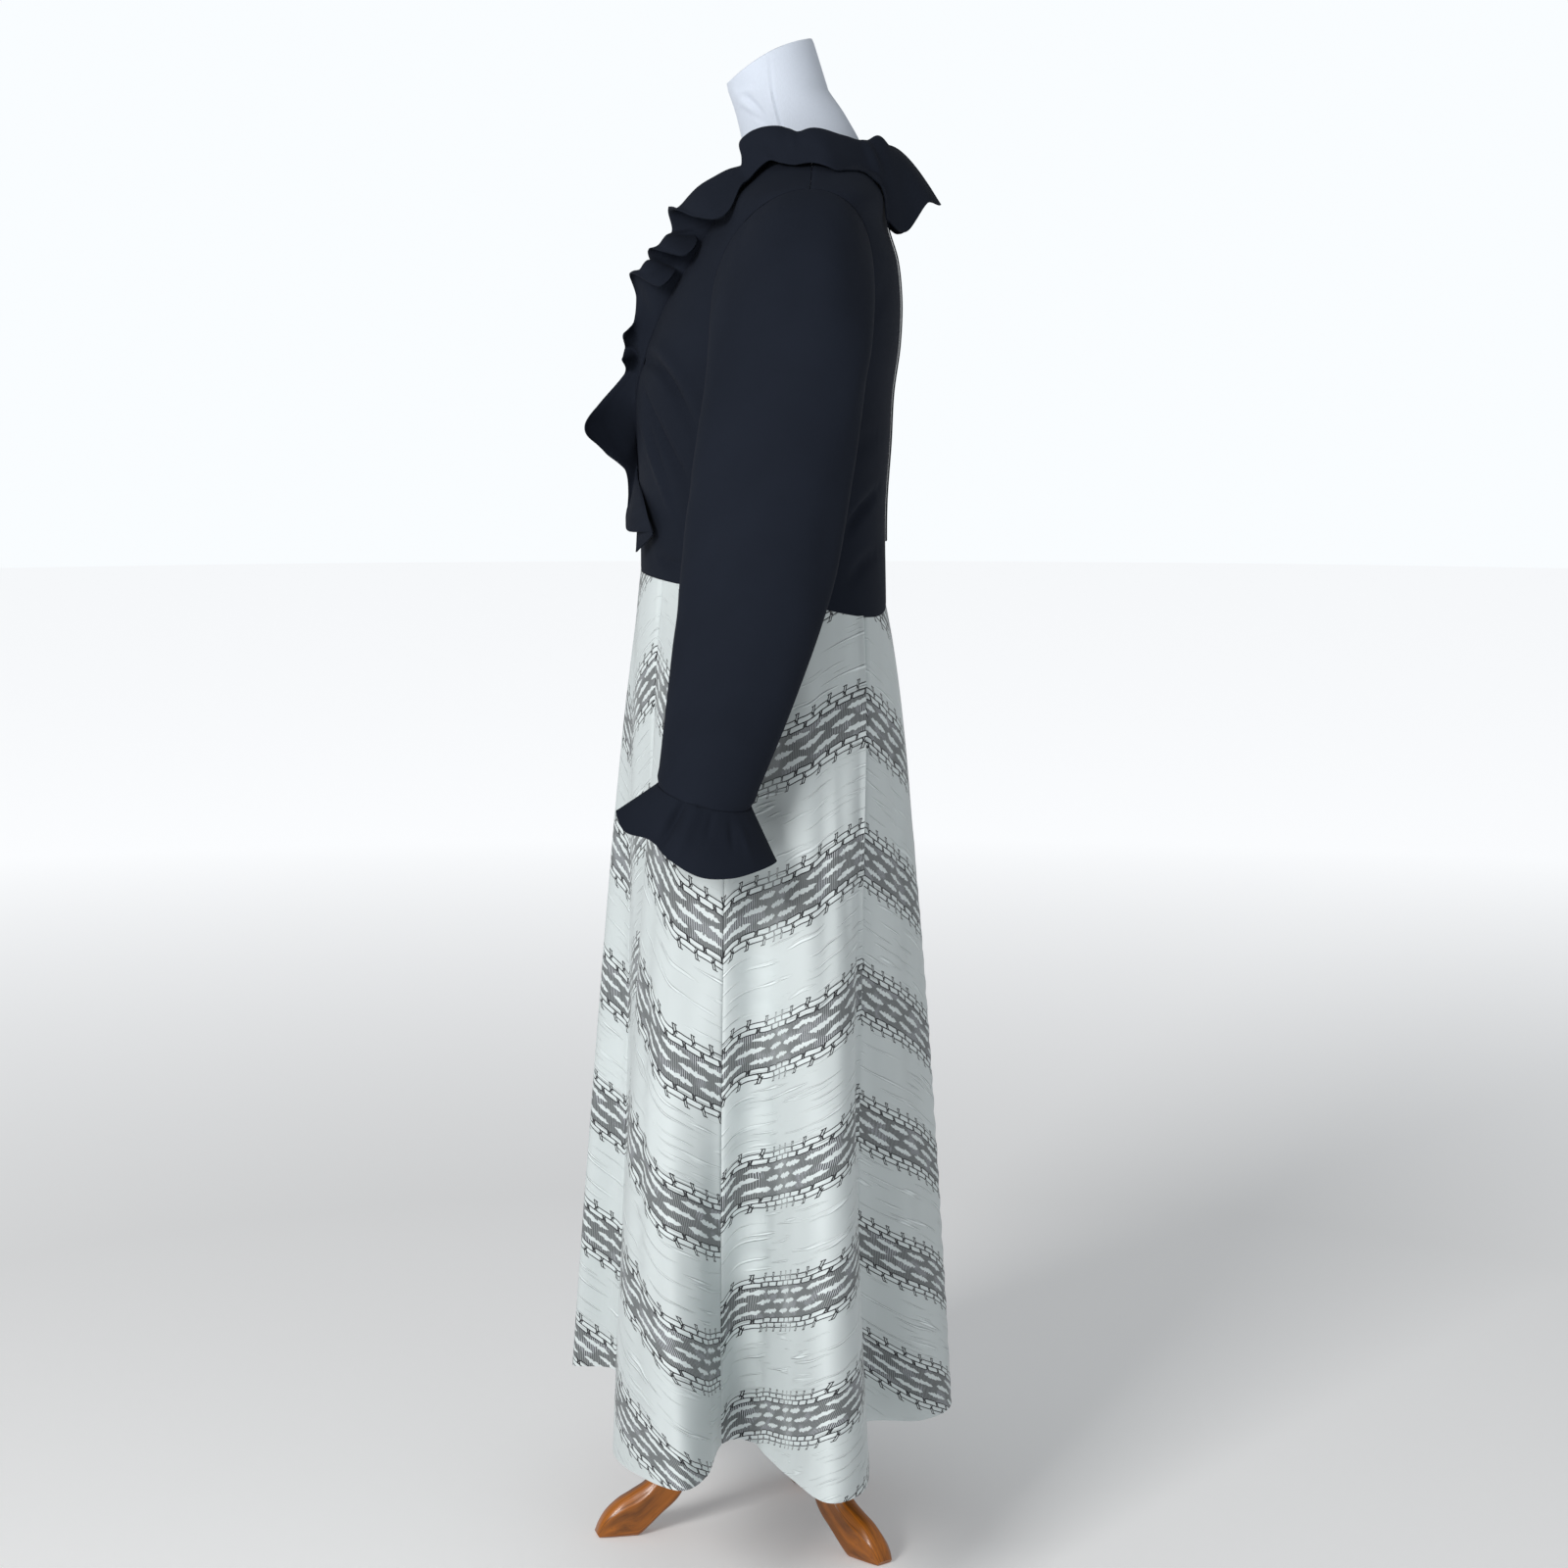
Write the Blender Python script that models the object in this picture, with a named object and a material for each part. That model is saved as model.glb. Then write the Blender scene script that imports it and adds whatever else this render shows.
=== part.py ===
"""Maxi dress on a limbless dress form with a wooden tripod.

Metres, +Z up. The dress faces -Y, the wearer's left side is +X, and the
floor is z = 0. Cloth is a thin wall: a grid of points on the outer face,
and the same grid moved inwards by the cloth's thickness.
"""
import math

import bpy
import numpy as np

# Driving sizes of the dress
CLOTH = 0.0015
FLOUNCE_CLOTH = 0.0012
SEAM_GAP = 0.0003
WAIST_Z = 0.991
WAIST_TILT = -0.14
WAIST_SAG = 0.009
HEM_Z = 0.158
MID_SKIRT_Z = 0.478
V_BOTTOM_Z = 1.098
NECK_POINT_Z = 1.4296
BACK_NECK_Z = 1.4226
NECK_HALF = 0.090
V_CURVE = 1.35
FLOUNCE_LAP = 0.003
FLOUNCE_LIFT = 0.0010
CHEST_CLEAR = 0.0011
SHOULDER_CLEAR = 0.0021

# Armhole: an upright loop, its top leaning back
ARMHOLE_Y = 0.028
ARMHOLE_Z = 1.298
ARMHOLE_HALF_Y = 0.076
ARMHOLE_HALF_Z = 0.090
ARMHOLE_LEAN = 0.017

# Torso sections: height, half width, depth to the front and to the back of a centre line
TORSO_POWER = 2.4
TORSO = np.array([
    (0.940, 0.152, 0.127, 0.125, 0.000),
    (0.988, 0.150, 0.126, 0.124, 0.000),
    (1.078, 0.160, 0.1265, 0.1235, 0.000),
    (1.138, 0.171, 0.1285, 0.1275, 0.000),
    (1.188, 0.178, 0.1310, 0.1280, 0.002),
    (1.238, 0.183, 0.1260, 0.1275, 0.009),
    (1.288, 0.187, 0.1140, 0.1195, 0.018),
    (1.322, 0.189, 0.1010, 0.1080, 0.0255),
    (1.355, 0.190, 0.0905, 0.0900, 0.034),
    (1.386, 0.187, 0.0790, 0.0780, 0.0445),
    (1.397, 0.165, 0.0690, 0.0725, 0.046),
    (1.412, 0.130, 0.0600, 0.0660, 0.047),
    (1.4296, 0.090, 0.0520, 0.0600, 0.047),
])

# Sleeve sections: height, centre x and y, half depth along y, half width along x,
# fall of the ring towards the back and towards the outer side
SLEEVE = np.array([
    (1.189, 0.2325, 0.0200, 0.0777, 0.0460, 0.00, 0.00),
    (1.100, 0.2380, 0.0064, 0.0775, 0.0460, 0.00, 0.00),
    (1.013, 0.2470, -0.0060, 0.0740, 0.0450, 0.02, 0.02),
    (0.913, 0.2610, -0.0290, 0.0615, 0.0430, 0.10, 0.08),
    (0.813, 0.2800, -0.0560, 0.0450, 0.0420, 0.25, 0.15),
])

# Cuff flounce, outer edge seen from the cuff's centre: angle from the back, x, y, z
CUFF_WAVES = np.array([
    (0, 0.002, 0.069, -0.063),
    (35, 0.040, 0.055, -0.066),
    (70, 0.062, 0.025, -0.071),
    (100, 0.068, -0.005, -0.068),
    (130, 0.055, -0.035, -0.052),
    (150, 0.040, -0.052, -0.037),
    (168, 0.030, -0.076, -0.030),
    (185, 0.005, -0.084, -0.014),
    (205, -0.018, -0.064, -0.034),
    (230, -0.035, -0.046, -0.050),
    (260, -0.046, -0.015, -0.064),
    (290, -0.044, 0.020, -0.068),
    (325, -0.030, 0.050, -0.065),
])

# Neck flounce, outer edge: length along the neck seam from the centre back, x, y, z
NECK_WAVES = np.array([
    (0.000, 0.002, 0.178, 1.376),
    (0.022, 0.035, 0.163, 1.377),
    (0.040, 0.062, 0.142, 1.349),
    (0.060, 0.088, 0.124, 1.358),
    (0.078, 0.118, 0.096, 1.388),
    (0.095, 0.145, 0.069, 1.407),
    (0.110, 0.155, 0.048, 1.410),
    (0.125, 0.150, 0.028, 1.406),
    (0.140, 0.137, 0.018, 1.408),
    (0.152, 0.122, 0.006, 1.402),
    (0.163, 0.115, -0.008, 1.392),
    (0.176, 0.128, -0.021, 1.388),
    (0.190, 0.146, -0.032, 1.370),
    (0.205, 0.150, -0.046, 1.360),
    (0.218, 0.130, -0.065, 1.362),
    (0.232, 0.085, -0.093, 1.373),
    (0.246, 0.050, -0.083, 1.357),
    (0.262, 0.095, -0.066, 1.339),
    (0.275, 0.115, -0.079, 1.325),
    (0.288, 0.078, -0.112, 1.332),
    (0.302, 0.036, -0.109, 1.317),
    (0.316, 0.085, -0.088, 1.311),
    (0.328, 0.103, -0.102, 1.295),
    (0.342, 0.066, -0.132, 1.308),
    (0.358, 0.028, -0.128, 1.283),
    (0.374, 0.044, -0.131, 1.256),
    (0.388, 0.062, -0.140, 1.247),
    (0.402, 0.030, -0.140, 1.233),
    (0.414, 0.050, -0.142, 1.222),
    (0.426, 0.022, -0.140, 1.210),
    (0.452, 0.060, -0.179, 1.157),
    (0.474, 0.040, -0.161, 1.130),
    (0.486, 0.018, -0.140, 1.108),
    (0.494, 0.014, -0.138, 1.085),
    (0.502, 0.020, -0.140, 1.059),
    (0.509, 0.070, -0.134, 1.051),
    (0.515, 0.112, -0.110, 1.053),
    (0.522, 0.074, -0.128, 1.031),
])

# Neck flounce, the ridge over which it rolls: length along the neck seam, x, y, z
NECK_RIDGE_PART = 0.42
NECK_RIDGE = np.array([
    (0.000, 0.002, 0.130, 1.434),
    (0.030, 0.046, 0.124, 1.434),
    (0.060, 0.080, 0.104, 1.437),
    (0.085, 0.104, 0.078, 1.441),
    (0.110, 0.116, 0.046, 1.447),
    (0.130, 0.112, 0.018, 1.450),
    (0.150, 0.102, -0.010, 1.442),
    (0.163, 0.096, -0.020, 1.424),
    (0.176, 0.094, -0.032, 1.411),
    (0.190, 0.094, -0.048, 1.402),
    (0.205, 0.092, -0.064, 1.392),
    (0.218, 0.084, -0.074, 1.380),
    (0.232, 0.074, -0.080, 1.365),
    (0.246, 0.066, -0.085, 1.350),
    (0.262, 0.080, -0.095, 1.345),
    (0.275, 0.078, -0.100, 1.338),
    (0.288, 0.068, -0.103, 1.328),
    (0.302, 0.058, -0.105, 1.312),
    (0.316, 0.066, -0.115, 1.318),
    (0.328, 0.066, -0.120, 1.312),
    (0.342, 0.056, -0.120, 1.300),
    (0.358, 0.044, -0.118, 1.280),
    (0.388, 0.042, -0.128, 1.245),
    (0.426, 0.026, -0.128, 1.205),
    (0.452, 0.036, -0.152, 1.165),
    (0.474, 0.026, -0.140, 1.128),
    (0.492, 0.012, -0.130, 1.105),
    (0.502, 0.020, -0.134, 1.085),
    (0.509, 0.050, -0.130, 1.085),
    (0.515, 0.072, -0.122, 1.088),
    (0.522, 0.050, -0.127, 1.070),
])

# Folds of the skirt, from the centre front over the wearer's left side:
# angle at the waist, x and y half way down, x and y at the hem
SKIRT_FOLDS = np.array([
    (0, -0.016, -0.151, -0.030, -0.160),
    (20, 0.065, -0.137, 0.085, -0.143),
    (39, 0.130, -0.118, 0.165, -0.134),
    (50, 0.190, -0.132, 0.246, -0.149),
    (58, 0.245, -0.120, 0.322, -0.127),
    (65, 0.277, -0.092, 0.380, -0.079),
    (71, 0.270, -0.066, 0.330, -0.054),
    (79, 0.257, -0.040, 0.232, -0.041),
    (90, 0.246, -0.006, 0.230, -0.013),
    (103, 0.284, 0.034, 0.330, 0.022),
    (112, 0.299, 0.058, 0.4155, 0.060),
    (119, 0.290, 0.077, 0.386, 0.094),
    (127, 0.256, 0.088, 0.300, 0.103),
    (141, 0.195, 0.092, 0.165, 0.098),
    (154, 0.140, 0.137, 0.152, 0.160),
    (167, 0.070, 0.166, 0.098, 0.191),
    (180, 0.000, 0.163, 0.000, 0.178),
    (193, -0.075, 0.165, -0.100, 0.190),
    (206, -0.145, 0.139, -0.165, 0.165),
    (219, -0.195, 0.095, -0.185, 0.105),
    (233, -0.254, 0.089, -0.300, 0.107),
    (241, -0.288, 0.078, -0.385, 0.096),
    (248, -0.298, 0.058, -0.416, 0.062),
    (257, -0.284, 0.034, -0.335, 0.022),
    (270, -0.250, -0.006, -0.245, -0.011),
    (281, -0.238, -0.040, -0.232, -0.042),
    (289, -0.262, -0.064, -0.335, -0.053),
    (296, -0.279, -0.092, -0.371, -0.088),
    (303, -0.247, -0.118, -0.322, -0.129),
    (310, -0.195, -0.130, -0.250, -0.150),
    (321, -0.135, -0.135, -0.165, -0.150),
    (340, -0.046, -0.177, -0.052, -0.205),
])
HIP_SWELL = 0.010
HIP_PLACE = 0.28

# Shift of every piece, so that the frame's origin lies under the middle of the skirt's hem
PLACE = np.array((0.0, 0.0075, 0.0))

# Gores by name: first and last fold of each
GORES = (
    ("gore_front_left", 0, 2),
    ("gore_side_front_left", 2, 7),
    ("gore_side_back_left", 7, 13),
    ("gore_back_left", 13, 16),
    ("gore_back_right", 16, 19),
    ("gore_side_back_right", 19, 25),
    ("gore_side_front_right", 25, 30),
    ("gore_front_right", 30, 32),
)

# Dress form: neck sections, height, centre y, half width, half depth
FORM_NECK = np.array([
    (1.330, 0.046, 0.050, 0.044),
    (1.380, 0.045, 0.056, 0.054),
    (1.430, 0.040, 0.058, 0.060),
    (1.465, 0.027, 0.056, 0.055),
    (1.500, 0.010, 0.055, 0.049),
    (1.536, 0.004, 0.053, 0.046),
])
FORM_BOTTOM_Z = 0.800
FORM_TOP_FRONT_Z = 1.497
FORM_TOP_SLOPE = 0.46
FORM_TOP_CROWN = 0.006
FORM_TOP_LEAN = 0.22

# Stand
POLE_RADIUS = 0.0125
HUB_RADIUS = 0.034
HUB_LOW_Z = 0.185
HUB_HIGH_Z = 0.300
LEG_ANGLES = (("leg_front", -77.0), ("leg_back_left", 43.0), ("leg_right", 163.0))
LEG_HALF_WIDTH = 0.0135

# Grid sizes
SIDE_ROWS = 6
ARMHOLE_STEPS = 18
NECK_ROWS_BELOW_V = 4
PANEL_COLUMNS = 6
SLEEVE_RINGS = 14
SLEEVE_CAP_RINGS = 6
SKIRT_ROWS = 10
FOLD_STEPS = 3


def clear_scene():
    """Remove whatever the open file shows."""
    for thing in list(bpy.data.objects):
        bpy.data.objects.remove(thing, do_unlink=True)


def material(name, colour, roughness, metallic=0.0):
    """A plain surface of one colour."""
    made = bpy.data.materials.new(name)
    made.use_nodes = True
    shader = made.node_tree.nodes["Principled BSDF"]
    shader.inputs["Base Color"].default_value = (*colour, 1.0)
    shader.inputs["Roughness"].default_value = roughness
    shader.inputs["Metallic"].default_value = metallic
    return made


def smooth_curve(keys, values, at):
    """Cubic curve through the values; its slope at a key is the slope between the neighbours."""
    keys = np.asarray(keys, dtype=float)
    values = np.asarray(values, dtype=float)
    slopes = np.gradient(values, keys, axis=0)
    at = np.clip(np.asarray(at, dtype=float), keys[0], keys[-1])
    low = np.clip(np.searchsorted(keys, at, side="right") - 1, 0, len(keys) - 2)
    span = keys[low + 1] - keys[low]
    part = (at - keys[low]) / span
    if values.ndim > 1:
        part = part[..., None]
        span = span[..., None]
    square = part * part
    cube = square * part
    return ((2 * cube - 3 * square + 1) * values[low] + (cube - 2 * square + part) * span * slopes[low]
            + (3 * square - 2 * cube) * values[low + 1] + (cube - square) * span * slopes[low + 1])


def face_normals(grid, closed):
    """Unit normals of a grid of points; closed grids run round in their second direction."""
    if closed:
        across = np.roll(grid, -1, axis=1) - np.roll(grid, 1, axis=1)
    else:
        across = np.gradient(grid, axis=1)
    along = np.gradient(grid, axis=0)
    normal = np.cross(along, across)
    return normal / np.linalg.norm(normal, axis=2, keepdims=True)


def quads(first, rows, columns, closed, turned):
    """Faces of a grid whose points are numbered from first, row by row."""
    faces = []
    last = columns if closed else columns - 1
    for row in range(rows - 1):
        for column in range(last):
            a = first + row * columns + column
            b = first + row * columns + (column + 1) % columns
            c = b + columns
            d = a + columns
            faces.append((a, d, c, b) if turned else (a, b, c, d))
    return faces


def wall(name, outer, inner, closed, look):
    """Closed solid between two grids of points of the same size."""
    rows, columns = outer.shape[:2]
    count = rows * columns
    faces = quads(0, rows, columns, closed, True) + quads(count, rows, columns, closed, False)
    last = columns if closed else columns - 1
    for column in range(last):
        following = (column + 1) % columns
        faces.append((column, following, count + following, count + column))
        low = (rows - 1) * columns
        faces.append((low + following, low + column, count + low + column, count + low + following))
    if not closed:
        for row in range(rows - 1):
            a = row * columns
            b = a + columns
            faces.append((b, a, count + a, count + b))
            right = a + columns - 1
            faces.append((right, right + columns, count + right + columns, count + right))
    points = np.concatenate([outer.reshape(-1, 3), inner.reshape(-1, 3)])
    return solid(name, points, faces, look)


def solid(name, points, faces, look):
    """Object of these points and faces, with its volume made positive."""
    mesh = bpy.data.meshes.new(name)
    mesh.from_pydata((np.asarray(points, dtype=float) + PLACE).tolist(), [], faces)
    mesh.update()
    corners = np.asarray(points, dtype=float)
    volume = 0.0
    for face in faces:
        for second, third in zip(face[1:-1], face[2:]):
            volume += np.dot(corners[face[0]], np.cross(corners[second], corners[third]))
    if volume < 0:
        mesh.flip_normals()
    mesh.materials.append(look)
    mesh.shade_smooth()
    mesh.set_sharp_from_angle(angle=math.radians(50))
    made = bpy.data.objects.new(name, mesh)
    bpy.context.scene.collection.objects.link(made)
    return made


def cloth(name, outer, thickness, look, inwards):
    """Cloth tube under an outer face; inwards is 1 or -1, the side of the normal that it lies on."""
    normal = face_normals(outer, True)
    return wall(name, outer, outer + inwards * thickness * normal, True, look)


def panel(name, outer, look):
    """Bodice panel: its inner face lies under the outer one along the torso's normals."""
    return wall(name, outer, outer - CLOTH * torso_normal(outer), False, look)


def mirrored(grid):
    """The same grid on the wearer's right."""
    return grid * np.array((-1.0, 1.0, 1.0))


def torso_row(z):
    """Half width, front depth, back depth and centre at each height."""
    return np.moveaxis(smooth_curve(TORSO[:, 0], TORSO[:, 1:], z), -1, 0)


def torso(angle, z):
    """Point of the bodice at an angle from the centre front towards the wearer's left."""
    half, front, back, centre = torso_row(z)
    sine = np.sin(angle)
    cosine = np.cos(angle)
    depth = np.where(cosine > 0, front, back)
    x = half * np.sign(sine) * np.abs(sine) ** (2 / TORSO_POWER)
    y = centre - depth * np.sign(cosine) * np.abs(cosine) ** (2 / TORSO_POWER)
    return np.stack([x, y, z], axis=-1)


def torso_level(x, y, z):
    """1 on the bodice's surface, less inside it."""
    half, front, back, centre = torso_row(z)
    depth = np.where(y < centre, front, back)
    return (np.abs(x) / half) ** TORSO_POWER + (np.abs(y - centre) / depth) ** TORSO_POWER


def torso_normal(points):
    """Unit outward normals: the slope of the level along x, y and z."""
    step = 1e-5
    x = points[..., 0]
    y = points[..., 1]
    z = np.clip(points[..., 2], TORSO[0, 0] + step, NECK_POINT_Z - step)
    slope = np.stack([
        torso_level(x + step, y, z) - torso_level(x - step, y, z),
        torso_level(x, y + step, z) - torso_level(x, y - step, z),
        torso_level(x, y, z + step) - torso_level(x, y, z - step),
    ], axis=-1)
    return slope / np.linalg.norm(slope, axis=-1, keepdims=True)


def angle_of_x(x, z):
    """Angle of the front point that lies at this x."""
    half = torso_row(z)[0]
    return np.arcsin(np.clip((x / half), 0, 1) ** (TORSO_POWER / 2))


def angle_of_y(y, z):
    """Angle of the point on the wearer's left that lies at this y."""
    _half, front, back, centre = torso_row(z)
    ahead = centre - y
    share = np.clip(np.abs(ahead) / np.where(ahead > 0, front, back), 0, 1) ** (TORSO_POWER / 2)
    return np.arccos(np.sign(ahead) * share)


def neckline_x(z):
    """Half width of the V neck at a height."""
    fall = np.clip((NECK_POINT_Z - z) / (NECK_POINT_Z - V_BOTTOM_Z), 0, 1)
    return NECK_HALF * (1 - fall ** V_CURVE)


def armhole(turn, grow=0.0):
    """Height and depth of the armhole; turn runs from the back over the top to the front."""
    y = ARMHOLE_Y + ARMHOLE_LEAN * np.sin(turn) + (ARMHOLE_HALF_Y + grow) * np.cos(turn)
    z = ARMHOLE_Z + (ARMHOLE_HALF_Z + grow) * np.sin(turn)
    return y, z


def side_seam_y(z):
    """Place of the bodice's side seam between waist and armhole."""
    share = (z - WAIST_Z) / (ARMHOLE_Z - ARMHOLE_HALF_Z - WAIST_Z)
    low = -0.020
    high = ARMHOLE_Y - ARMHOLE_LEAN
    return low + (high - low) * share


def panel_outer_edge(front):
    """Angles and heights down the outer edge of a bodice panel, waist first."""
    arm_rows = ARMHOLE_STEPS // 2
    low_z = np.linspace(WAIST_Z, ARMHOLE_Z - ARMHOLE_HALF_Z - SEAM_GAP, SIDE_ROWS + 1)[:-1]
    gap = -SEAM_GAP / 2 if front else SEAM_GAP / 2
    low_angle = angle_of_y(side_seam_y(low_z) + gap, low_z)
    turn = math.radians(270) + np.linspace(0, 1, arm_rows + 1) * math.radians(-180 if front else 180)
    y, z = armhole(turn, SEAM_GAP)
    z = np.minimum(z, ARMHOLE_Z + ARMHOLE_HALF_Z)
    y[0] = y[0] + gap
    high_angle = angle_of_y(y, z)
    high_angle[-1] = math.radians(90) + (-0.0015 if front else 0.0015)
    return np.concatenate([low_angle, high_angle]), np.concatenate([low_z, z])


def waist_rise(angle):
    """Height of the waist seam over WAIST_Z: it slopes to the back and sags behind the side seams."""
    y = torso(angle, np.full_like(angle, WAIST_Z))[..., 1]
    behind = np.clip(2 * np.arccos(np.cos(angle)) / math.pi - 1, 0, 1)
    return WAIST_TILT * y - WAIST_SAG * np.sin(math.pi * behind ** 1.5)


def waist_drop(angle, z, share):
    """Move rows near the waist to the waist seam."""
    return z + waist_rise(angle) * np.clip(1 - share * 3.0, 0, 1) + SEAM_GAP / 2


def bodice_front():
    """Outer face of the left front, rows from the waist up, columns from the centre out."""
    out_angle, out_z = panel_outer_edge(True)
    rows = len(out_z)
    below = np.linspace(WAIST_Z, V_BOTTOM_Z, NECK_ROWS_BELOW_V + 1)
    above = np.linspace(V_BOTTOM_Z, NECK_POINT_Z, rows - NECK_ROWS_BELOW_V)[1:]
    in_z = np.concatenate([below, above])
    in_x = np.maximum(neckline_x(in_z), SEAM_GAP / 2)
    in_x[:NECK_ROWS_BELOW_V + 1] = SEAM_GAP / 2
    in_angle = angle_of_x(in_x, in_z)
    in_angle[-1] = out_angle[-1]
    column = np.linspace(0, 1, PANEL_COLUMNS + 1)[None, :]
    angle = in_angle[:, None] + (out_angle - in_angle)[:, None] * column
    z = in_z[:, None] + (out_z - in_z)[:, None] * column
    share = np.linspace(0, 1, rows)[:, None] + np.zeros_like(z)
    return torso(angle, waist_drop(angle, z, share))


def bodice_back():
    """Outer face of the left back; its top edge is the back neck and then the shoulder seam."""
    out_angle, out_z = panel_outer_edge(False)
    rows = len(out_z)
    columns = PANEL_COLUMNS + 2
    in_z = np.linspace(WAIST_Z, BACK_NECK_Z, rows)
    in_angle = np.full(rows, math.pi - 0.0006)
    column = np.linspace(0, 1, columns + 1)[None, :]
    angle = in_angle[:, None] + (out_angle - in_angle)[:, None] * column
    z = in_z[:, None] + (out_z - in_z)[:, None] * column
    half_way = np.clip(column * 2, 0, 1)
    rest = np.clip(column * 2 - 1, 0, 1)
    top_angle = in_angle[-1] + (out_angle[-1] - in_angle[-1]) * half_way
    top_z = BACK_NECK_Z + (NECK_POINT_Z - BACK_NECK_Z) * half_way + (out_z[-1] - NECK_POINT_Z) * rest
    share = np.linspace(0, 1, rows)[:, None] + np.zeros_like(z)
    pull = share ** 3
    angle = angle + pull * (top_angle - angle[-1:])
    z = z + pull * (top_z - z[-1:])
    return torso(angle, waist_drop(angle, z, share))


def sleeve():
    """Outer face of the left sleeve: rings from the armhole to the cuff."""
    turn = math.radians(270) - np.arange(ARMHOLE_STEPS) * 2 * math.pi / ARMHOLE_STEPS
    y, z = armhole(turn)
    half, front, back, centre = torso_row(z)
    ahead = centre - y
    share = np.clip(np.abs(ahead) / np.where(ahead > 0, front, back), 0, 1) ** TORSO_POWER
    start = np.stack([half * (1 - share) ** (1 / TORSO_POWER), y, z], axis=-1)
    end = sleeve_ring(turn, SLEEVE[0, 0])
    reach = np.linalg.norm(end - start, axis=1, keepdims=True)
    lead = np.stack([0.85 + 0.1 * np.sin(turn), 0.10 * np.cos(turn), -0.55 + 0.15 * np.sin(turn)], axis=-1)
    below = sleeve_ring(turn, SLEEVE[0, 0] - 0.01) - end
    tail = below / np.linalg.norm(below, axis=1, keepdims=True)
    part = np.linspace(0, 1, SLEEVE_CAP_RINGS + 1)[:, None, None]
    square = part * part
    cube = square * part
    cap = ((2 * cube - 3 * square + 1) * start + (cube - 2 * square + part) * reach * lead
           + (3 * square - 2 * cube) * end + (cube - square) * reach * tail)
    heights = np.linspace(SLEEVE[0, 0], SLEEVE[-1, 0], SLEEVE_RINGS - SLEEVE_CAP_RINGS + 1)[1:]
    lower = np.stack([sleeve_ring(turn, height) for height in heights])
    return np.concatenate([cap, lower])


def sleeve_ring(turn, height):
    """Oval section of the sleeve at a height."""
    table = SLEEVE[::-1]
    x, y, deep, wide, back_fall, out_fall = smooth_curve(table[:, 0], table[:, 1:], height)
    back = deep * np.cos(turn)
    out = wide * np.sin(turn)
    return np.stack([x + out, y + back, height - back_fall * back - out_fall * out], axis=-1)


def cuff_flounce(steps=30, rows=3):
    """Outer face of the left cuff's flounce, from the sleeve's end to its waved edge."""
    turn = np.arange(steps) * 2 * math.pi / steps
    height = SLEEVE[-1, 0]
    root = sleeve_ring(turn, height) - np.array((0, 0, SEAM_GAP + 0.0002))
    keys = np.radians(np.concatenate([CUFF_WAVES[-2:, 0] - 360, CUFF_WAVES[:, 0], CUFF_WAVES[:2, 0] + 360]))
    spots = np.concatenate([CUFF_WAVES[-2:, 1:], CUFF_WAVES[:, 1:], CUFF_WAVES[:2, 1:]])
    edge = smooth_curve(keys, spots, turn) + np.array((SLEEVE[-1, 1], SLEEVE[-1, 2], height))
    part = np.linspace(0, 1, rows + 1)[:, None, None]
    return root + (edge - root) * part


def neck_seam(along):
    """Neck edge of the bodice by length from the centre back, with its outward direction."""
    back_angle = np.linspace(math.pi - 0.006, math.pi / 2, 40)
    back_z = BACK_NECK_Z + (NECK_POINT_Z - BACK_NECK_Z) * np.linspace(0, 1, 40)
    front_z = np.linspace(NECK_POINT_Z, V_BOTTOM_Z, 80)[1:]
    front_angle = angle_of_x(neckline_x(front_z) + FLOUNCE_LAP, front_z)
    angle = np.concatenate([back_angle, front_angle])
    z = np.concatenate([back_z, front_z])
    points = torso(angle, z)
    wider = torso(angle, z - 0.004)
    steps = np.linalg.norm(np.diff(points, axis=0), axis=1)
    length = np.concatenate([[0.0], np.cumsum(steps)])
    length = length * NECK_WAVES[-1, 0] / length[-1]
    ahead = np.gradient(points, axis=0)
    normal = np.cross(ahead, wider - points)
    normal = normal / np.linalg.norm(normal, axis=1, keepdims=True)
    found = [np.interp(along, length, points[:, axis]) for axis in range(3)]
    lift = [np.interp(along, length, normal[:, axis]) for axis in range(3)]
    return np.stack(found, axis=-1), np.stack(lift, axis=-1)


def shoulder_height(x, y, clear):
    """Height of the bodice's surface over each point, its sections grown by clear."""
    best = np.zeros_like(x)
    for z in np.linspace(1.34, NECK_POINT_Z, 60):
        half, front, back, centre = torso_row(np.array(z))
        depth = np.where(y < centre, front, back)
        level = (np.abs(x) / (half + clear)) ** TORSO_POWER + (np.abs(y - centre) / (depth + clear)) ** TORSO_POWER
        best = np.where(level <= 1, z, best)
    return best


def pushed_out(points):
    """Points moved out of the bodice's section, or up off its shoulder, where they lie too close."""
    clear = CHEST_CLEAR
    z = np.clip(points[..., 2], TORSO[0, 0], NECK_POINT_Z)
    half, front, back, centre = torso_row(z)
    y = points[..., 1] - centre
    depth = np.where(y < 0, front, back)
    x = points[..., 0]
    level = ((np.abs(x) / (half + clear)) ** TORSO_POWER
             + (np.abs(y) / (depth + clear)) ** TORSO_POWER) ** (1 / TORSO_POWER)
    inside = (level < 1) & (points[..., 2] < 1.35) & (x > neckline_x(z) - 0.004)
    grow = np.where(inside, 1 / np.maximum(level, 0.2), 1.0)
    moved = np.stack([x * grow, centre + y * grow, points[..., 2]], axis=-1)
    floor = shoulder_height(moved[..., 0], moved[..., 1], SHOULDER_CLEAR)
    over = (floor > 0) & (moved[..., 2] > 1.34) & (np.abs(x) > 0.05)
    moved[..., 2] = np.where(over, np.maximum(moved[..., 2], floor + SHOULDER_CLEAR), moved[..., 2])
    return moved


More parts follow.
